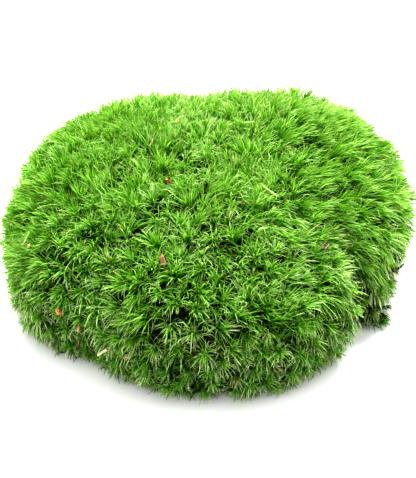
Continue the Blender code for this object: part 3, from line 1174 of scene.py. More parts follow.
    def fillers(self, rng: Random) -> ShootPlan:
        """Plans the lower shoots between them.

        Args:
            rng: The source of each shoot's own variation.

        Returns:
            Their plan.
        """
        form = self.form
        number = len(form.gaps)
        axes = unit(form.over_gaps - form.vertices[form.gaps]) + rng.normal(0, self.lean, (number, 3))
        opened = self.openness(form.over_gaps, unit(axes))
        axes = self.lifted(unit(axes), opened)
        recess = rng.uniform(*self.recess_range, number) + self.open_recess * opened
        tips = trimmed(form.over_gaps) - axes * recess[:, None]
        plan = self.plan(FILLER, tips, axes, opened, total_of(PAINTED_SHADE_PATCHES, tips), rng)
        return plan.part(rng.random(number) < mix(*self.open_gap_share, opened))

    def fringe(self, row: FringeRow, rng: Random) -> ShootPlan:
        """Plans one row of the shoots that hang over the cushion's foot.

        Args:
            row: Where the row lies and how its shoots hang.
            rng: The source of each shoot's own variation.

        Returns:
            Their plan.
        """
        tips = self.form.outline(row.level, row.spacing)
        number = len(tips)
        outward = unit(tips * LEVEL)
        axes = unit(outward + row.tilt * UP + rng.normal(0, self.foot_lean, (number, 3)))
        tips = trimmed(tips) - outward * row.inset + rng.normal(0, self.foot_stray, (number, 3))
        tips[:, 2] = np.maximum(tips[:, 2], self.foot_lowest)
        plan = self.plan(row.kind, tips, axes, np.ones(number), 0.0, rng)
        plan.sweep = self.foot_sweep * plan.sweep - row.sag * UP
        return plan

    def bedding(self, rng: Random) -> ShootPlan:
        """Plans the short shoots that the litter is caught between.

        Args:
            rng: The source of each shoot's own variation.

        Returns:
            Their plan.
        """
        tips, axes = self.nests[:, :3], self.nests[:, 3:]
        axes = unit(axes + rng.normal(0, self.nest_lean, axes.shape))
        return self.plan(BEDDING, tips, axes, self.openness(tips, axes), 0.0, rng)

    def dead(self, living: ShootPlan, rng: Random) -> ShootPlan:
        """Plans the brown leaves further down the living shoots' stems.

        Args:
            living: The living shoots.
            rng: The source of each shoot's own variation.

        Returns:
            Their plan.
        """
        number = len(living.size)
        return ShootPlan(
            tip=living.tip,
            axis=living.axis,
            sweep=self.dead_sweep * living.sweep,
            size=living.size * self.dead_size,
            leaves=rng.integers(*self.dead_leaves, number),
            tone=rng.uniform(*self.dead_tone_range, number),
            depth=np.full(number, self.dead_depth),
            spread=rng.uniform(*self.dead_spread, number),
            open=living.open,
        )

    def heading(self, leaf: dict[str, Array], along: float) -> Array:
        """Which way each leaf runs at one place along it.

        Args:
            leaf: The leaves' directions, angles, sweep and droop, by name.
            along: The place, from 0 at the stem to 1 at the tip.

        Returns:
            One unit vector for each leaf.
        """
        angle = leaf["start"] + leaf["bend"] * along**self.bend_power
        first, last = self.sweep_growth
        return unit(
            leaf["axis"] * np.cos(angle)[:, None]
            + leaf["out"] * np.sin(angle)[:, None]
            + leaf["sweep"] * (first + last * along**self.sweep_power)
            - UP * (leaf["droop"] * along**2)[:, None]
        )

    def tones(self, plan: ShootPlan, shoot: Array, rise: Array, rng: Random) -> Array:
        """Draws every leaf's tone.

        Args:
            plan: The shoots.
            shoot: Which shoot each leaf is on.
            rise: How far up the shoot it is, from 0 to 1.
            rng: The source of each leaf's own variation.

        Returns:
            One place on the palette for each leaf.
        """
        total = len(shoot)
        outer = np.clip((self.outer_from - rise) / self.outer_over, 0, 1)
        # Outer leaves of open shoots grow paler: older leaves, and partly a painted sheen
        tone = plan.tone[shoot] + outer * mix(*self.open_paleness_and_sheen, plan.open[shoot])
        tone = np.minimum(tone + rng.normal(0, self.leaf_tone_stray, total), self.palest)
        # Painted shade: some outer leaves of open shoots take the near-black row, for the dark gaps between
        # them
        shaded = rng.random(total) < self.painted_shade_share * outer * plan.open[shoot]
        tone = np.where(shaded, rng.uniform(*self.painted_shade_tone, total), tone)
        browned = (rng.random(len(plan.size)) < self.browned_share)[shoot] & (rise > self.browned_from)
        tone = np.where(browned, rng.uniform(*self.browned_tone, total), tone)
        low_share, least_share = self.dead_share
        # Dead brown leaves in patches, whose dark brown also serves as painted shade
        dead_and_painted_shade = total_of(DEAD_LEAF_AND_SHADE_PATCHES, plan.tip)[shoot]
        dead = rng.random(total) < low_share * (1 - rise) + least_share + dead_and_painted_shade
        dead |= plan.tone[shoot] >= self.dead_from
        return np.where(dead, rng.uniform(*self.dead_tone, total), np.clip(tone, 0, self.browned_tone[1]))

    def grow(self, plan: ShootPlan, blade: LeafBlade, rng: Random) -> tuple[Array, Array]:
        """Grows the leaves of some shoots.

        Args:
            plan: The shoots.
            blade: The form of their leaves.
            rng: The source of each leaf's own variation.

        Returns:
            The points of every leaf, and every leaf's tone.
        """
        total = int(plan.leaves.sum())
        shoot = np.repeat(np.arange(len(plan.leaves)), plan.leaves)
        number = np.arange(total) - np.repeat(np.cumsum(plan.leaves) - plan.leaves, plan.leaves)
        rise = ((number + 0.5) / plan.leaves[shoot]) ** self.crowding
        turn = number * GOLDEN_ANGLE + rng.normal(0, self.turn_stray, total)
        axis, size, opened = plan.axis[shoot], plan.size[shoot], plan.open[shoot]
        first, second = side_vectors(axis)
        out = first * np.cos(turn)[:, None] + second * np.sin(turn)[:, None]
        sweep = plan.sweep[shoot] + rng.normal(0, self.leaf_stray, (total, 3))
        start = mix(*self.spread, rise**self.spread_power) * plan.spread[shoot]
        start = np.radians(start + rng.normal(0, self.start_stray, total))
        bend = mix(*self.recurve, rise) * mix(*self.open_bend, opened)
        bend = np.radians(bend + rng.normal(0, self.bend_stray, total))
        droop = mix(*self.droop, rise**self.droop_power) * mix(*self.open_droop, opened)
        droop = droop * rng.uniform(*self.droop_range, total)
        leaf = {"axis": axis, "out": out, "sweep": sweep, "start": start, "bend": bend, "droop": droop}
        depth = mix(self.head_depth, self.bud_depth, rise**self.depth_power) * plan.depth[shoot] * size
        length = mix(*self.leaf_length, rise) * size
        length = length * np.clip(rng.normal(1, self.length_stray, total), *self.length_range)
        length = length * mix(*self.open_length, opened)
        width = mix(*self.open_width, opened) * rng.normal(1, self.width_stray, total)
        width = width * mix(*self.width_by_size, size)
        twist = rng.normal(0, self.twist, total)

        point = plan.tip[shoot] - axis * depth[:, None]
        point = point - plan.sweep[shoot] * (depth**2 * self.stem_curve)[:, None]
        point = point + np.cross(axis, rng.normal(0, self.scatter, (total, 3)))
        vertices = np.empty((total, blade.points, 3))
        for index, along in enumerate(blade.stations):
            ahead = (*blade.stations, 1.0)[index + 1]
            heading = self.heading(leaf, along)
            across = unit(np.cross(heading, out) + 1e-6)
            across = np.where((across * np.cross(axis, out)).sum(1, keepdims=True) < 0, -across, across)
            face = np.cross(across, heading)
            lean = (twist * along)[:, None]
            across = across * np.cos(lean) + face * np.sin(lean)
            face = np.cross(across, heading)
            half = (width * blade.widths[index] / 2)[:, None]
            vertices[:, 3 * index] = point - across * half
            vertices[:, 3 * index + 1] = point - face * half * 2 * blade.keel
            vertices[:, 3 * index + 2] = point + across * half
            point = point + self.heading(leaf, (along + ahead) / 2) * ((ahead - along) * length)[:, None]
        vertices[:, -1] = point
        tones = self.tones(plan, shoot, rise, rng)
        clear = self.clear_of_litter(vertices) & (vertices[:, :, 2].min(1) > self.lowest_leaf)
        vertices[:, :, 2] = np.maximum(vertices[:, :, 2], self.ground)
        return vertices[clear], tones[clear]

    def clear_of_litter(self, vertices: Array) -> Array:
        """Which leaves keep clear of the litter and of what lies over it.

        Args:
            vertices: The points of every leaf.

        Returns:
            Yes or no for each leaf.
        """
        clear = np.ones(len(vertices), bool)
        keels = vertices[:, 4::3]
        for spot in self.avoid:
            clear &= ~(((keels - spot[:3]) ** 2).sum(-1) < spot[3] ** 2).any(1)
        return clear

    def build(self) -> None:
        """Builds the shoots, joined in one piece for each sector, with about as many triangles in each."""
        rng = np.random.default_rng(self.seed)
        heads, fillers = self.heads(rng), self.fillers(rng)
        hem, *rows = [self.fringe(row, rng) for row in self.fringe_rows]
        heads = ShootPlan.join([heads, *rows])
        dead = self.dead(ShootPlan.join([heads, fillers]), rng)
        plain = ShootPlan.join([fillers, hem, self.bedding(rng), dead])
        log.info("%d heads, %d others", len(heads.size), len(plain.size))
        weight = np.concatenate([heads.leaves * ARCHED_WEIGHT, plain.leaves])
        turn = np.concatenate([np.arctan2(plan.tip[:, 1], plan.tip[:, 0]) for plan in (heads, plain)])
        order = np.argsort(turn)
        share = np.empty(len(order))
        share[order] = np.cumsum(weight[order]) / weight.sum() * len(Sector)
        sector_of = np.minimum(share.astype(int), len(Sector) - 1)
        of_heads, of_plain = np.split(sector_of, [len(heads.size)])
        for sector in Sector:
            grown = []
            for plan, blade, sectors in ((heads, ARCHED_BLADE, of_heads), (plain, PLAIN_BLADE, of_plain)):
                grown.append((blade, *self.grow(plan.part(sectors == sector.value), blade, rng)))
            piece = self.join_leaves("moss_shoots_" + sector.name.lower(), grown)
            self.settle(piece, "living_moss", "moss_cushion")

    def join_leaves(self, name: str, grown: Sequence[tuple[LeafBlade, Array, Array]]) -> bpy.types.Object:
        """Joins leaves in one piece.

        Args:
            name: The piece's name.
            grown: The form, the points and the tones of each lot of leaves.

        Returns:
            The piece.
        """
        points, corners, sizes, spots, start = [], [], [], [], 0
        for blade, vertices, tones in grown:
            one, one_sizes = blade.faces()
            every = start + np.arange(len(tones))[:, None] * blade.points
            points.append(vertices.reshape(-1, 3))
            corners.append((every + one).ravel())
            sizes.append(np.tile(one_sizes, len(tones)))
            spots.append(blade.palette(tones)[:, one].reshape(-1, 2))
            start += len(tones) * blade.points
        return make_object(name, *(np.concatenate(rows) for rows in (points, corners, sizes, spots)))


@dataclass
class Thatch(SubAssembly):
    """The dead stems and leaves under the shoots' heads, which close the view into the cushion; their
    near-black finish is partly painted shade.
    """

    form: CushionForm
    finish: ThatchFinish = field(default_factory=ThatchFinish)
    tuft: float = 1.5 * MM
    sink: float = 1.2 * MM
    low: float = 5.0 * MM
    draw_in: float = 3.0 * MM

    def build(self) -> None:
        """Builds the thatch as the cushion's form with its tufts taken down to the gaps."""
        form = self.form
        vertices = trimmed(form.vertices)
        tufts = form.prominence > self.tuft
        vertices[tufts] = trimmed(form.around[tufts]) - form.normals[tufts] * self.sink
        low = vertices[:, 2] < self.low
        vertices[low] -= unit(vertices[low] * LEVEL) * self.draw_in
        piece = make_object("moss_thatch", vertices, form.triangles.ravel(), np.full(len(form.triangles), 3))
        self.settle(piece, "living_moss", "moss_cushion")


# ---------------------------------------------------------------- the litter


def ripple(place: Array, rng: Random, slowest: float = 1.0, waves: int = 7) -> Array:
    """A soft random line between about -1 and 1.

    Args:
        place: Where along the line.
        rng: The source of its waves.
        slowest: How many times the slowest wave goes up and down between 0 and 1.
        waves: How many waves are summed, each faster and weaker than the last.

    Returns:
        The line's height at each place.
    """
    faster, weaker, whole = 1.6, 1.35, 2.2
    total = np.zeros_like(place)
    for k in range(waves):
        total = total + np.sin(2 * pi * (slowest * faster**k * place + rng.random())) / weaker**k
    return total / whole


def on_palette(share: Array) -> Array:
    """The palette's place along a scrap, above the cut line, for shares from -1 to 1."""
    return CUT_LINE + 0.02 + 0.94 * (share + 1) / 2


@dataclass
class LitterForm:
    """One packed scrap, read as a gentle bend along its length, in axes of its own."""

    centre: Array
    axes: Array
    half: Array
    bend: Array
    girth: Array

    @classmethod
    def read(cls, node: str) -> "LitterForm":
        """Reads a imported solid.

        Args:
            node: The solid's name.

        Returns:
            Its form, with the axes along it, across it and out of the cushion.
        """
        points = np.unique(np.round(packed_points(node), 6), axis=0)
        centre = points.mean(0)
        _, _, axes = np.linalg.svd(points - centre, full_matrices=False)
        length = axes[0] * np.sign(axes[0] @ (0.3, 0.5, 0.8))
        outward = axes[2] * np.sign(axes[2] @ (centre - (0, 0, 20 * MM)))
        axes = np.stack([length, np.cross(outward, length), outward])
        local = (points - centre) @ axes.T
        middle = (local.min(0) + local.max(0)) / 2
        local -= middle
        half = local.max(0)
        share = local[:, 0] / half[0]
        bend = np.stack([np.polyfit(share, local[:, side], 3) for side in (1, 2)])
        off_line = [local[:, side] - np.polyval(bend[side - 1], share) for side in (1, 2)]
        return cls(centre + middle @ axes, axes, half, bend, np.polyfit(share, np.hypot(*off_line), 2))

    def place(self, local: Array) -> Array:
        """Turns points in the scrap's own axes into points of the frame."""
        return self.centre + local @ self.axes

    def curve(self, share: Array) -> Array:
        """Points on the scrap's middle line, in its own axes, for shares from -1 to 1 along it."""
        return np.stack([self.half[0] * share, *(np.polyval(bend, share) for bend in self.bend)], -1)


@dataclass
class LitterItem(ABC):
    """One piece of litter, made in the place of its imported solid.

    Leaves are cleared away from the part of its length that shows, and short shoots stand beside it.
    """

    node: str
    slot: str
    finish: DryPlantFinish
    shown: Span = field(default=(-1.0, 1.0), kw_only=True)
    clearing: float = field(default=1.0 * MM, kw_only=True)
    nested: bool = field(default=True, kw_only=True)

    @abstractmethod
    def make(self, form: LitterForm, rng: Random) -> bpy.types.Object:
        """Makes the piece.

        Args:
            form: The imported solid's form.
            rng: The source of its rim and relief.

        Returns:
            The piece.
        """

    @abstractmethod
    def outward(self, form: LitterForm) -> Array:
        """Which way is out of the cushion."""

    @abstractmethod
    def half_width(self, form: LitterForm) -> float:
        """How far its side lies from its middle line."""


@dataclass
class Scrap(LitterItem):
    """A flat scrap of bark, scale or leaf: a thin curved sheet with a ragged rim."""

    thickness: float = 0.3 * MM
    end_share: float = 0.5
    ragged: float = 0.12
    tear: float = 0.2
    cup: float = 0.0
    ridges: int = 5
    ridge_depth: float = 0.08 * MM
    roundness: float = 0.7
    plates: int = 0
    plate_size: Span = (0.78, 0.24)
    plate_rise: float = 0.8
    rows: int = 34
    columns: int = 18
    breadth: float = 0.95

    def outward(self, form: LitterForm) -> Array:
        """Which way is out of the cushion: square to the sheet."""
        return unit(form.axes[2])

    def half_width(self, form: LitterForm) -> float:
        """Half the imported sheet's width."""
        return form.half[1]

    def sheet(self, form: LitterForm, rng: Random, size: float, rise: float) -> tuple[Array, Array, Array]:
        """One sheet of the scrap.

        Args:
            form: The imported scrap's form.
            rng: The source of its rim and relief.
            size: Its share of the whole scrap's length and width.
            rise: How far it stands off the middle line.

        Returns:
            Its points, its faces and the palette place of each face's corners.
        """
        along, across = np.linspace(-1, 1, self.rows), np.linspace(-1, 1, self.columns)
        u, v = np.meshgrid(along, across, indexing="ij")
        # The outline: rounded ends, ragged sides, and ends torn further in towards the corners
        taper = mix(self.end_share, 1, np.cos(along * pi / 2 * 0.999) ** self.roundness)
        left = taper * (1 + self.ragged * ripple(along, rng, 1.5))
        right = taper * (1 + self.ragged * ripple(along, rng, 1.5))
        width = np.where(v < 0, left[:, None], right[:, None])
        tear = self.tear * (0.5 + 0.5 * ripple(across, rng, 0.8))[None, :] + 0.12 * v**2
        torn = 1 - tear * np.abs(u) ** 4
        local = form.curve(u * torn * size)
        local[..., 1] += form.half[1] * self.breadth * width * v * size
        # The relief: two sets of lengthwise ridges on a cupped sheet that thins out to its rim
        folds = np.zeros_like(u)
        for number in (self.ridges, 1.7 * self.ridges):
            folds += np.sin(pi * (number * v + 0.3 * ripple(along, rng)[:, None])) / 2
        local[..., 2] += self.cup * (0.5 - v**2) + self.ridge_depth * folds + rise
        thin = self.thickness * (1 - 0.75 * np.maximum(np.abs(u), np.abs(v)) ** 6) / 2
        offset = np.stack([np.zeros_like(thin), np.zeros_like(thin), thin], -1)
        points = np.concatenate([(local + offset).reshape(-1, 3), (local - offset).reshape(-1, 3)])

        under = u.size
        at = np.arange(under).reshape(u.shape)
        rim = np.concatenate([at[:-1, 0], at[-1, :-1], at[:0:-1, -1], at[0, :0:-1]])
        ahead = np.roll(rim, -1)
        top = grid_faces(at)
        sides = np.stack([ahead, rim, rim + under, ahead + under], -1)
        faces = np.concatenate([top, top[:, ::-1] + under, sides])
        palette = np.stack([on_palette(u), 0.02 + 0.96 * (v + 1) / 2], -1).reshape(-1, 2)
        return form.place(points), faces, palette[(faces % under).ravel()]

    def make(self, form: LitterForm, rng: Random) -> bpy.types.Object:
        """Makes the scrap with its loose plates on top, each smaller than the last.

        Args:
            form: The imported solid's form.
            rng: The source of its rim and relief.

        Returns:
            The piece.
        """
        largest, less = self.plate_size
        sheets = [self.sheet(form, rng, 1.0, 0.0)]
        for number in range(self.plates):
            rise = self.thickness * self.plate_rise * (number + 1)
            sheets.append(self.sheet(form, rng, largest - less * number, rise))
        starts = np.cumsum([0] + [len(points) for points, _, _ in sheets])
        faces = np.concatenate([faces + start for (_, faces, _), start in zip(sheets, starts)])
        points, palette = (np.concatenate([sheet[part] for sheet in sheets]) for part in (0, 2))
        return make_sheet(self.node + "_dry", points, faces, palette)


@dataclass
class Stem(LitterItem):
    """A stick, straw or thread: a fibrous tube with broken ends."""

    clearing: float = field(default=0.7 * MM, kw_only=True)
    hollow: float = 0.3
    pit: float = 0.4
    lip: float = 0.8
    ribs: int = 7
    rib_depth: float = 0.06
    rib_stray: float = 0.04
    knots: float = 0.05
    splinter: float = 0.5
    rows: int = 30
    sides: int = 20
    swell: Span = (1.0, 1.0)

    def outward(self, form: LitterForm) -> Array:
        """Which way is out of the cushion: away from its middle, and a little up."""
        return unit(form.centre * (1.0, 1.0, 0.6))

    def half_width(self, form: LitterForm) -> float:
        """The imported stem's radius at its middle."""
        return form.girth[-1]

    def make(self, form: LitterForm, rng: Random) -> bpy.types.Object:
        """Makes the stem.

        Args:
            form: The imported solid's form.
            rng: The source of its ribs and broken ends.

        Returns:
            The piece.
        """
        along = np.linspace(-1, 1, self.rows)
        turns = ring_of(self.sides)
        line = form.curve(along)
        ahead = unit(np.gradient(line, axis=0))
        side = unit(np.cross(UP, ahead))
        upward = np.cross(ahead, side)
        around = side[:, None] * np.cos(turns)[:, None] + upward[:, None] * np.sin(turns)[:, None]
        radius = np.polyval(form.girth, along) * (1 + self.knots * ripple(along, rng, 1.2))
        radius *= mix(*self.swell, (along + 1) / 2)
        ribbed = 1 + self.rib_depth * np.sin(self.ribs * turns)
        ribbed = ribbed + self.rib_stray * rng.normal(0, 1, self.sides)
        wall = line[:, None] + around * (radius[:, None] * ribbed)[..., None]
        ends = []
        for end, way in ((0, 1.0), (-1, -1.0)):
            jag = self.splinter * radius[end] * (0.5 + 0.5 * ripple(turns / (2 * pi), rng, 2.0))
            wall[end] += ahead[end] * way * jag[:, None]
            middle = line[end]
            bottom = middle + ahead[end] * way * radius[end] * (self.pit + self.splinter)
            lip = middle + (wall[end] - middle) * self.lip
            pit = bottom + around[end] * radius[end] * self.hollow
            ends.append([np.broadcast_to(bottom, pit.shape), pit, lip])
        points = np.concatenate([np.stack(ends[0]), wall, np.stack(ends[1][::-1])])
        faces = grid_faces(np.arange(len(points) * self.sides).reshape(-1, self.sides), True, True)
        # The palette goes once round the wall, and the three rows of each end lie below its cut line
        round_share = np.arange(self.sides + 1) / self.sides
        spots = np.stack(np.broadcast_arrays(on_palette(along[:, None]), round_share), -1)
        cut = np.full((3, self.sides + 1, 2), (CUT_LINE / 2, 0.5))
        spots = np.concatenate([cut, spots, cut])
        corners = grid_faces(np.arange(spots.size // 2).reshape(spots.shape[:2]), flipped=True)
        palette = spots.reshape(-1, 2)[corners.ravel()]
        return make_sheet(self.node + "_dry", form.place(points.reshape(-1, 3)), faces, palette)


LITTER: tuple[LitterItem, ...] = (
    Scrap(
        "pine_bud_scale", "bud_scale", BUD_SCALE, end_share=0.1, ragged=0.16, cup=0.7 * MM, ridges=3,
        shown=(-0.6, 1.0), breadth=0.78,
    ),
    Scrap("bark_flake_left", "bark", PINE_BARK, 0.6 * MM, 0.6, 0.2, 0.3, ridges=3, plates=2),
    Scrap("bark_flake_low", "bark", TAN_BARK, 0.5 * MM, 0.6, 0.2, 0.3, ridges=3, plates=1),
    Scrap("bark_crumb", "bark", RED_BARK, 0.7 * MM, 0.7, 0.25, 0.35, ridges=3, plates=2, clearing=1.4 * MM),
    Scrap("leaf_scrap_front", "dry_leaf", ROTTED_LEAF, 0.25 * MM, 0.6, 0.25, 0.4, -0.4 * MM, ridges=4),
    Scrap(
        "leaf_scrap_right", "dry_leaf", CURLED_LEAF, 0.25 * MM, 0.5, 0.15, 0.05, -0.9 * MM, ridges=3,
        clearing=1.5 * MM, breadth=0.72,
    ),
    Scrap("dry_scale_left", "straw", DRY_SCALE, 0.25 * MM, 0.75, 0.06, 0.1, 0.35 * MM, ridges=4),
    Scrap("dry_scale_back", "straw", DRY_SCALE, 0.25 * MM, 0.6, 0.1, 0.2, 0.35 * MM, ridges=4),
    Stem("brown_stalk", "twig_bark", BROWN_STALK, knots=0.15),
    Stem(
        "twig", "twig_bark", TWIG_BARK, rib_depth=0.08, knots=0.1, splinter=0.8, rows=44,
        shown=(0.55, 1.0), nested=False, swell=(1.15, 0.7),
    ),
    Stem(
        "straw_stalk", "straw", STRAW_CREAM, hollow=0.7, pit=3.0, ribs=9, rib_depth=0.04, knots=0.03,
        clearing=1.5 * MM,
    ),
    Stem(
        "straw_sliver", "straw", STRAW_YELLOW, splinter=1.5, rib_depth=0.2,
        clearing=0.8 * MM, swell=(1.1, 1.4),
    ),
    Stem("straw_thread_left", "straw", STRAW_YELLOW, splinter=1.0, clearing=0.8 * MM),
    Stem("straw_thread_back", "straw", STRAW_YELLOW, splinter=1.0, clearing=1.2 * MM, swell=(1.2, 1.2)),
)


@dataclass
class Litter(SubAssembly):
    """The dry scraps caught in the cushion."""

    items: tuple[LitterItem, ...] = LITTER
    seed: int = 31
    seen_from: Triple = (0.0, -0.766, 0.643)
    outward_share: float = 0.5
    stations: int = 5
    steps: tuple[float, ...] = (1.0 * MM, 2.6 * MM, 4.8 * MM)
    nest_reach: float = 1.25
    nest_spacing: float = 1.2 * MM
    nest_margin: float = 1.6 * MM
    nest_drop: float = 1.0 * MM
    nest_lean: float = 0.35

    def __post_init__(self) -> None:
        """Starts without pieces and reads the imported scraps."""
        super().__post_init__()
        self.forms = [LitterForm.read(item.node) for item in self.items]

    def clearings(self) -> Array:
        """The places that leaves keep out of, so that the litter shows.

        Returns:
            A point and a radius in each row.
        """
        rows = []
        for item, form in zip(self.items, self.forms):
            way = unit(item.outward(form) * self.outward_share + self.seen_from)
            for share in np.linspace(*item.shown, self.stations):
                point = form.place(form.curve(share))
                rows += [(*(point + way * step), item.clearing) for step in self.steps]
        return np.array(rows)

    def nests(self) -> Array:
        """Where short shoots stand beside the litter.

        Returns:
            Their tips and directions, one shoot a row.
        """
        rows = []
        for item, form in zip(self.items, self.forms):
            if not item.nested:
                continue
            outward = item.outward(form)
            across = unit(np.cross(outward, form.axes[0]))
            aside = item.half_width(form) + self.nest_margin
            number = 3 + int(form.half[0] / self.nest_spacing)
            for share in np.linspace(-self.nest_reach, self.nest_reach, number):
                inside = np.clip(share, -1, 1)
                beyond = share * form.half[0] - inside * form.half[0]
                middle = form.place(form.curve(inside)) + form.axes[0] * beyond
                for way in (-1, 0, 1) if abs(share) > 1 else (-1, 1):
                    tip = middle + across * way * aside - outward * self.nest_drop
                    rows.append((*tip, *unit(outward + self.nest_lean * way * across)))
        return np.array(rows)

    def build(self) -> None:
        """Builds every scrap in the place of its solid."""
        for number, (item, form) in enumerate(zip(self.items, self.forms)):
            self.settle(item.make(form, np.random.default_rng(self.seed + number)), item.slot, item.node)

    def dress(self) -> None:
        """Gives every scrap its finish."""
        made: dict[str, bpy.types.Material] = {}
        for item, piece in zip(self.items, self.pieces):
            if item.finish.name not in made:
                made[item.finish.name] = item.finish.material()
            piece.data.materials.append(made[item.finish.name])


@dataclass
class HumusPad(SubAssembly):
    """The pad that the clump grows from: crumbly round its edge, cut off flat underneath, with rootlets."""

    finish: HumusFinish = field(default_factory=HumusFinish)
    seed: int = 41
    steps_round: int = 420
    edge_rows: int = 9
    face_rows: int = 12
    face_crowding: float = 0.7
    top: float = 5.6 * MM
    crumb: float = 2.2 * MM
    fine_crumb: float = 0.4
    crumb_depth: float = 1.6 * MM
    top_relief: float = 0.4
    pit_depth: float = 0.7 * MM
    rootlets: int = 260
    rootlet_rows: int = 6
    rootlet_sides: int = 3
    rootlet_length: Span = (3.0 * MM, 9.0 * MM)
    rootlet_radius: float = 0.22 * MM
    rootlet_girth: Span = (0.6, 1.5)
    rootlet_taper: float = 0.75
    rootlet_inset: float = 2.0 * MM
    rootlet_levels: Span = (0.5 * MM, 5.0 * MM)
    rootlet_fall: float = -0.1
    rootlet_stray: float = 0.45
    rootlet_bend: float = 0.25
    rootlet_lowest: float = 0.2 * MM

    def __post_init__(self) -> None:
        """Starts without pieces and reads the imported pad's edge, all round."""
        super().__post_init__()
        points = packed_points("humus_pad")
        points = points[np.abs(points[:, 2] - np.median(points[:, 2])) < 0.5 * MM]
        turn = np.arctan2(points[:, 1], points[:, 0])
        order = np.argsort(turn)
        self.turns = turn[order]
        self.reaches = np.hypot(points[:, 0], points[:, 1])[order]

    def reach(self, turn: Array) -> Array:
        """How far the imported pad's edge lies from the middle."""
        return np.interp(turn, self.turns, self.reaches, period=2 * pi)

    def build(self) -> None:
        """Builds the pad and its rootlets."""
        turn = ring_of(self.steps_round)
        outward = np.stack([np.cos(turn), np.sin(turn)], -1) * self.reach(turn)[:, None]
        # The rows go out over the top, down the edge and in again underneath
        shares = np.linspace(0, 1, self.face_rows) ** self.face_crowding
        inward = np.linspace(1, 0, self.face_rows) ** self.face_crowding
        edge = np.linspace(self.top, 0, self.edge_rows)[1:-1]
        share = np.repeat([*shares, *np.ones(len(edge)), *inward], self.steps_round)
        level = [*np.full(len(shares), self.top), *edge, *np.zeros(len(inward))]
        level = np.repeat(level, self.steps_round)
        rows = len(share) // self.steps_round
        flat = np.column_stack([np.tile(outward, (rows, 1)) * share[:, None], level])
        lumps = np.array([noise.noise(Vector(point) / self.crumb) for point in flat])
        fine_size = self.fine_crumb * self.crumb
        fine = np.array([noise.noise(Vector(point) / fine_size + Vector((9, 4, 2))) for point in flat])
        rough = np.clip(0.5 + 0.7 * lumps + 0.4 * fine, 0, 1)
        flat[:, :2] -= unit(flat[:, :2]) * (self.crumb_depth * rough * share**8)[:, None]
        worn_top = level - self.top_relief * self.crumb_depth * rough
        cut_face = self.pit_depth * np.clip(rough * 2 - 1, 0, 1)
        flat[:, 2] = np.where(level > 0, worn_top, cut_face)
        faces = grid_faces(np.arange(len(flat)).reshape(rows, -1), closed=True)
        self.settle(make_sheet("humus_crumbly", flat, faces), "humus", "humus_pad")
        self.settle(self.make_rootlets(), "humus")

    def make_rootlets(self) -> bpy.types.Object:
        """Makes the brown rootlets and dead stem ends that stick out round the pad.

        Returns:
            All of them in one piece.
        """
        rng = np.random.default_rng(self.seed)
        number, rows, sides = self.rootlets, self.rootlet_rows, self.rootlet_sides
        turn = rng.uniform(0, 2 * pi, number)
        outward = np.stack([np.cos(turn), np.sin(turn), np.zeros(number)], 1)
        point = outward * (self.reach(turn) - self.rootlet_inset)[:, None]
        point[:, 2] = rng.uniform(*self.rootlet_levels, number)
        stray = rng.normal(0, self.rootlet_stray, (number, 3))
        heading = unit(outward + stray + self.rootlet_fall * UP)
        step = rng.uniform(*self.rootlet_length, number)[:, None] / (rows - 1)
        radius = self.rootlet_radius * rng.uniform(*self.rootlet_girth, number)
        corners = ring_of(sides)
        points = np.empty((number, rows, sides, 3))
        for row in range(rows):
            first, second = side_vectors(heading)
            thin = radius * (1 - self.rootlet_taper * row / (rows - 1))
            ring = first[:, None] * np.cos(corners)[:, None] + second[:, None] * np.sin(corners)[:, None]
            points[:, row] = point[:, None] + ring * thin[:, None, None]
            point = point + heading * step
            heading = unit(heading + rng.normal(0, self.rootlet_bend, (number, 3)))
        points[..., 2] = np.maximum(points[..., 2], self.rootlet_lowest)
        one = grid_faces(np.arange(rows * sides).reshape(rows, sides), closed=True, flipped=True)
        faces = (np.arange(number)[:, None, None] * rows * sides + one).reshape(-1, 4)
        return make_sheet("humus_rootlets", points.reshape(-1, 3), faces)


# ---------------------------------------------------------------- the studio


@dataclass(frozen=True)
class SoftLight:
    """A round soft light that faces the clump: its place, its width and its watts."""

    name: str
    place: Triple
    size: float
    watts: float

    def add(self) -> None:
        """Adds the light to the scene."""
        light = bpy.data.lights.new(self.name, "AREA")
        light.shape = "DISK"
        light.size = self.size
        light.energy = self.watts
        lamp = bpy.data.objects.new(self.name, light)
        lamp.location = self.place
        lamp.rotation_euler = (-Vector(self.place)).to_track_quat("-Z", "Y").to_euler()
        bpy.context.scene.collection.objects.link(lamp)


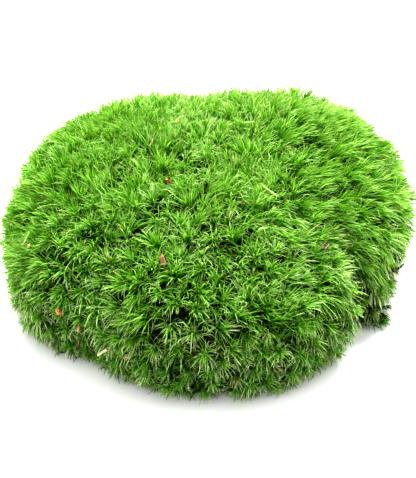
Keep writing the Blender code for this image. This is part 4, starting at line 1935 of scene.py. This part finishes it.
@dataclass
class Studio:
    """The white table and wall, the soft light and the camera at the photograph's angle."""

    table_side: float = 6.0
    wall_reach: float = 2.9
    wall_height: float = 4.0
    wall_sides: int = 48
    surround: Span = (0.0, 1.5)
    lights: tuple[SoftLight, ...] = (
        SoftLight("soft_light_back", (0.05, 0.6, 1.0), 1.1, 46.0),
        SoftLight("soft_light_front", (-0.5, -0.9, 0.9), 0.7, 3.0),
    )
    exposure: float = 0.4
    target: Triple = (-1.50 * MM, -4.85 * MM, 28 * MM)
    elevation: float = 40.0
    distance: float = 0.7
    pixels_per_metre: float = 2040.0

    def build(self) -> None:
        """Sets the stage."""
        self.add_table()
        self.add_wall()
        self.add_light()
        self.add_camera()

    def add_table(self) -> None:
        """Adds the white table."""
        half = self.table_side / 2
        corners = np.array([(-half, -half, 0), (half, -half, 0), (half, half, 0), (-half, half, 0)])
        table = make_sheet("white_table", corners, np.arange(4).reshape(1, 4))
        # White laminate, matte: a plain ground that takes a soft shadow
        material, _, surface = new_material("table_white_matte", 0.9, 0.1)
        surface.inputs["Base Color"].default_value = linear("#ebebeb")
        table.data.materials.append(material)
        table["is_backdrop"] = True

    def add_wall(self) -> None:
        """Adds the white wall round the table, which only the camera sees: it gives no light or shadow."""
        turns = ring_of(self.wall_sides)
        foot = np.stack([np.cos(turns), np.sin(turns), np.zeros_like(turns)], 1) * self.wall_reach
        head = foot + self.wall_height * UP
        at = np.arange(self.wall_sides)
        faces = grid_faces(np.stack([at, at + self.wall_sides]), closed=True)
        wall = make_sheet("white_wall", np.concatenate([foot, head]), faces)
        # Backdrop paper, evenly lit from its own side: plain white with no shading
        material, _, surface = new_material("wall_white_lit", 0.5, 0.5)
        surface.inputs["Emission Color"].default_value = linear("#ffffff")
        surface.inputs["Emission Strength"].default_value = 1.0
        wall.data.materials.append(material)
        for ray in ("diffuse", "glossy", "transmission", "shadow"):
            setattr(wall, "visible_" + ray, False)
        wall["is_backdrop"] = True

    def add_light(self) -> None:
        """Adds the even white surround, a large soft light high at the back and a weak one at the front."""
        world = bpy.data.worlds.new("studio")
        world.use_nodes = True
        tree = world.node_tree
        direction = add_node(tree, "TexCoord", {}).outputs["Generated"]
        height = add_node(tree, "SeparateXYZ", {"Vector": direction}).outputs["Z"]
        level, overhead = self.surround
        strength = add_node(tree, "MapRange", {"Value": height, "To Min": level, "To Max": overhead})
        background = tree.nodes["Background"]
        tree.links.new(strength.outputs[0], background.inputs["Strength"])
        background.inputs["Color"].default_value = linear("#ffffff")
        bpy.context.scene.world = world
        for light in self.lights:
            light.add()
        view = bpy.context.scene.view_settings
        view.view_transform = "Standard"
        view.look = "High Contrast"
        view.exposure = self.exposure

    def add_camera(self) -> None:
        """Adds the camera, level with the photograph's angle above the table."""
        camera = bpy.data.cameras.new("photo_camera")
        focal_pixels = self.pixels_per_metre * self.distance
        camera.lens = focal_pixels * camera.sensor_width / max(PHOTO_SIZE)
        holder = bpy.data.objects.new("photo_camera", camera)
        tilt = radians(self.elevation)
        back = Vector((0, -cos(tilt), sin(tilt)))
        holder.location = Vector(self.target) + back * self.distance
        holder.rotation_euler = (-back).to_track_quat("-Z", "Y").to_euler()
        bpy.context.scene.collection.objects.link(holder)
        bpy.context.scene.camera = holder


def write_sizes() -> None:
    """Gathers the solids' box and the dressed clump's box as lists, and keeps neither."""
    boxes = {"solids": SOLID_BOUNDS, "dressed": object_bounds()}
    {name: [list(corner) for corner in box] for name, box in boxes.items()}


def main() -> None:
    """Builds and dresses the clump in order, then sets the stage."""
    logging.basicConfig(level=logging.INFO, format="%(name)s: %(message)s")
    form = CushionForm.read("moss_cushion")
    litter = Litter()
    shoots = MossShoots(form, litter.nests(), litter.clearings())
    for part in (HumusPad(), litter, Thatch(form), shoots):
        part.build()
        part.dress()
        part.report()
    Studio().build()
    write_sizes()


if __name__ == "__main__":
    main()
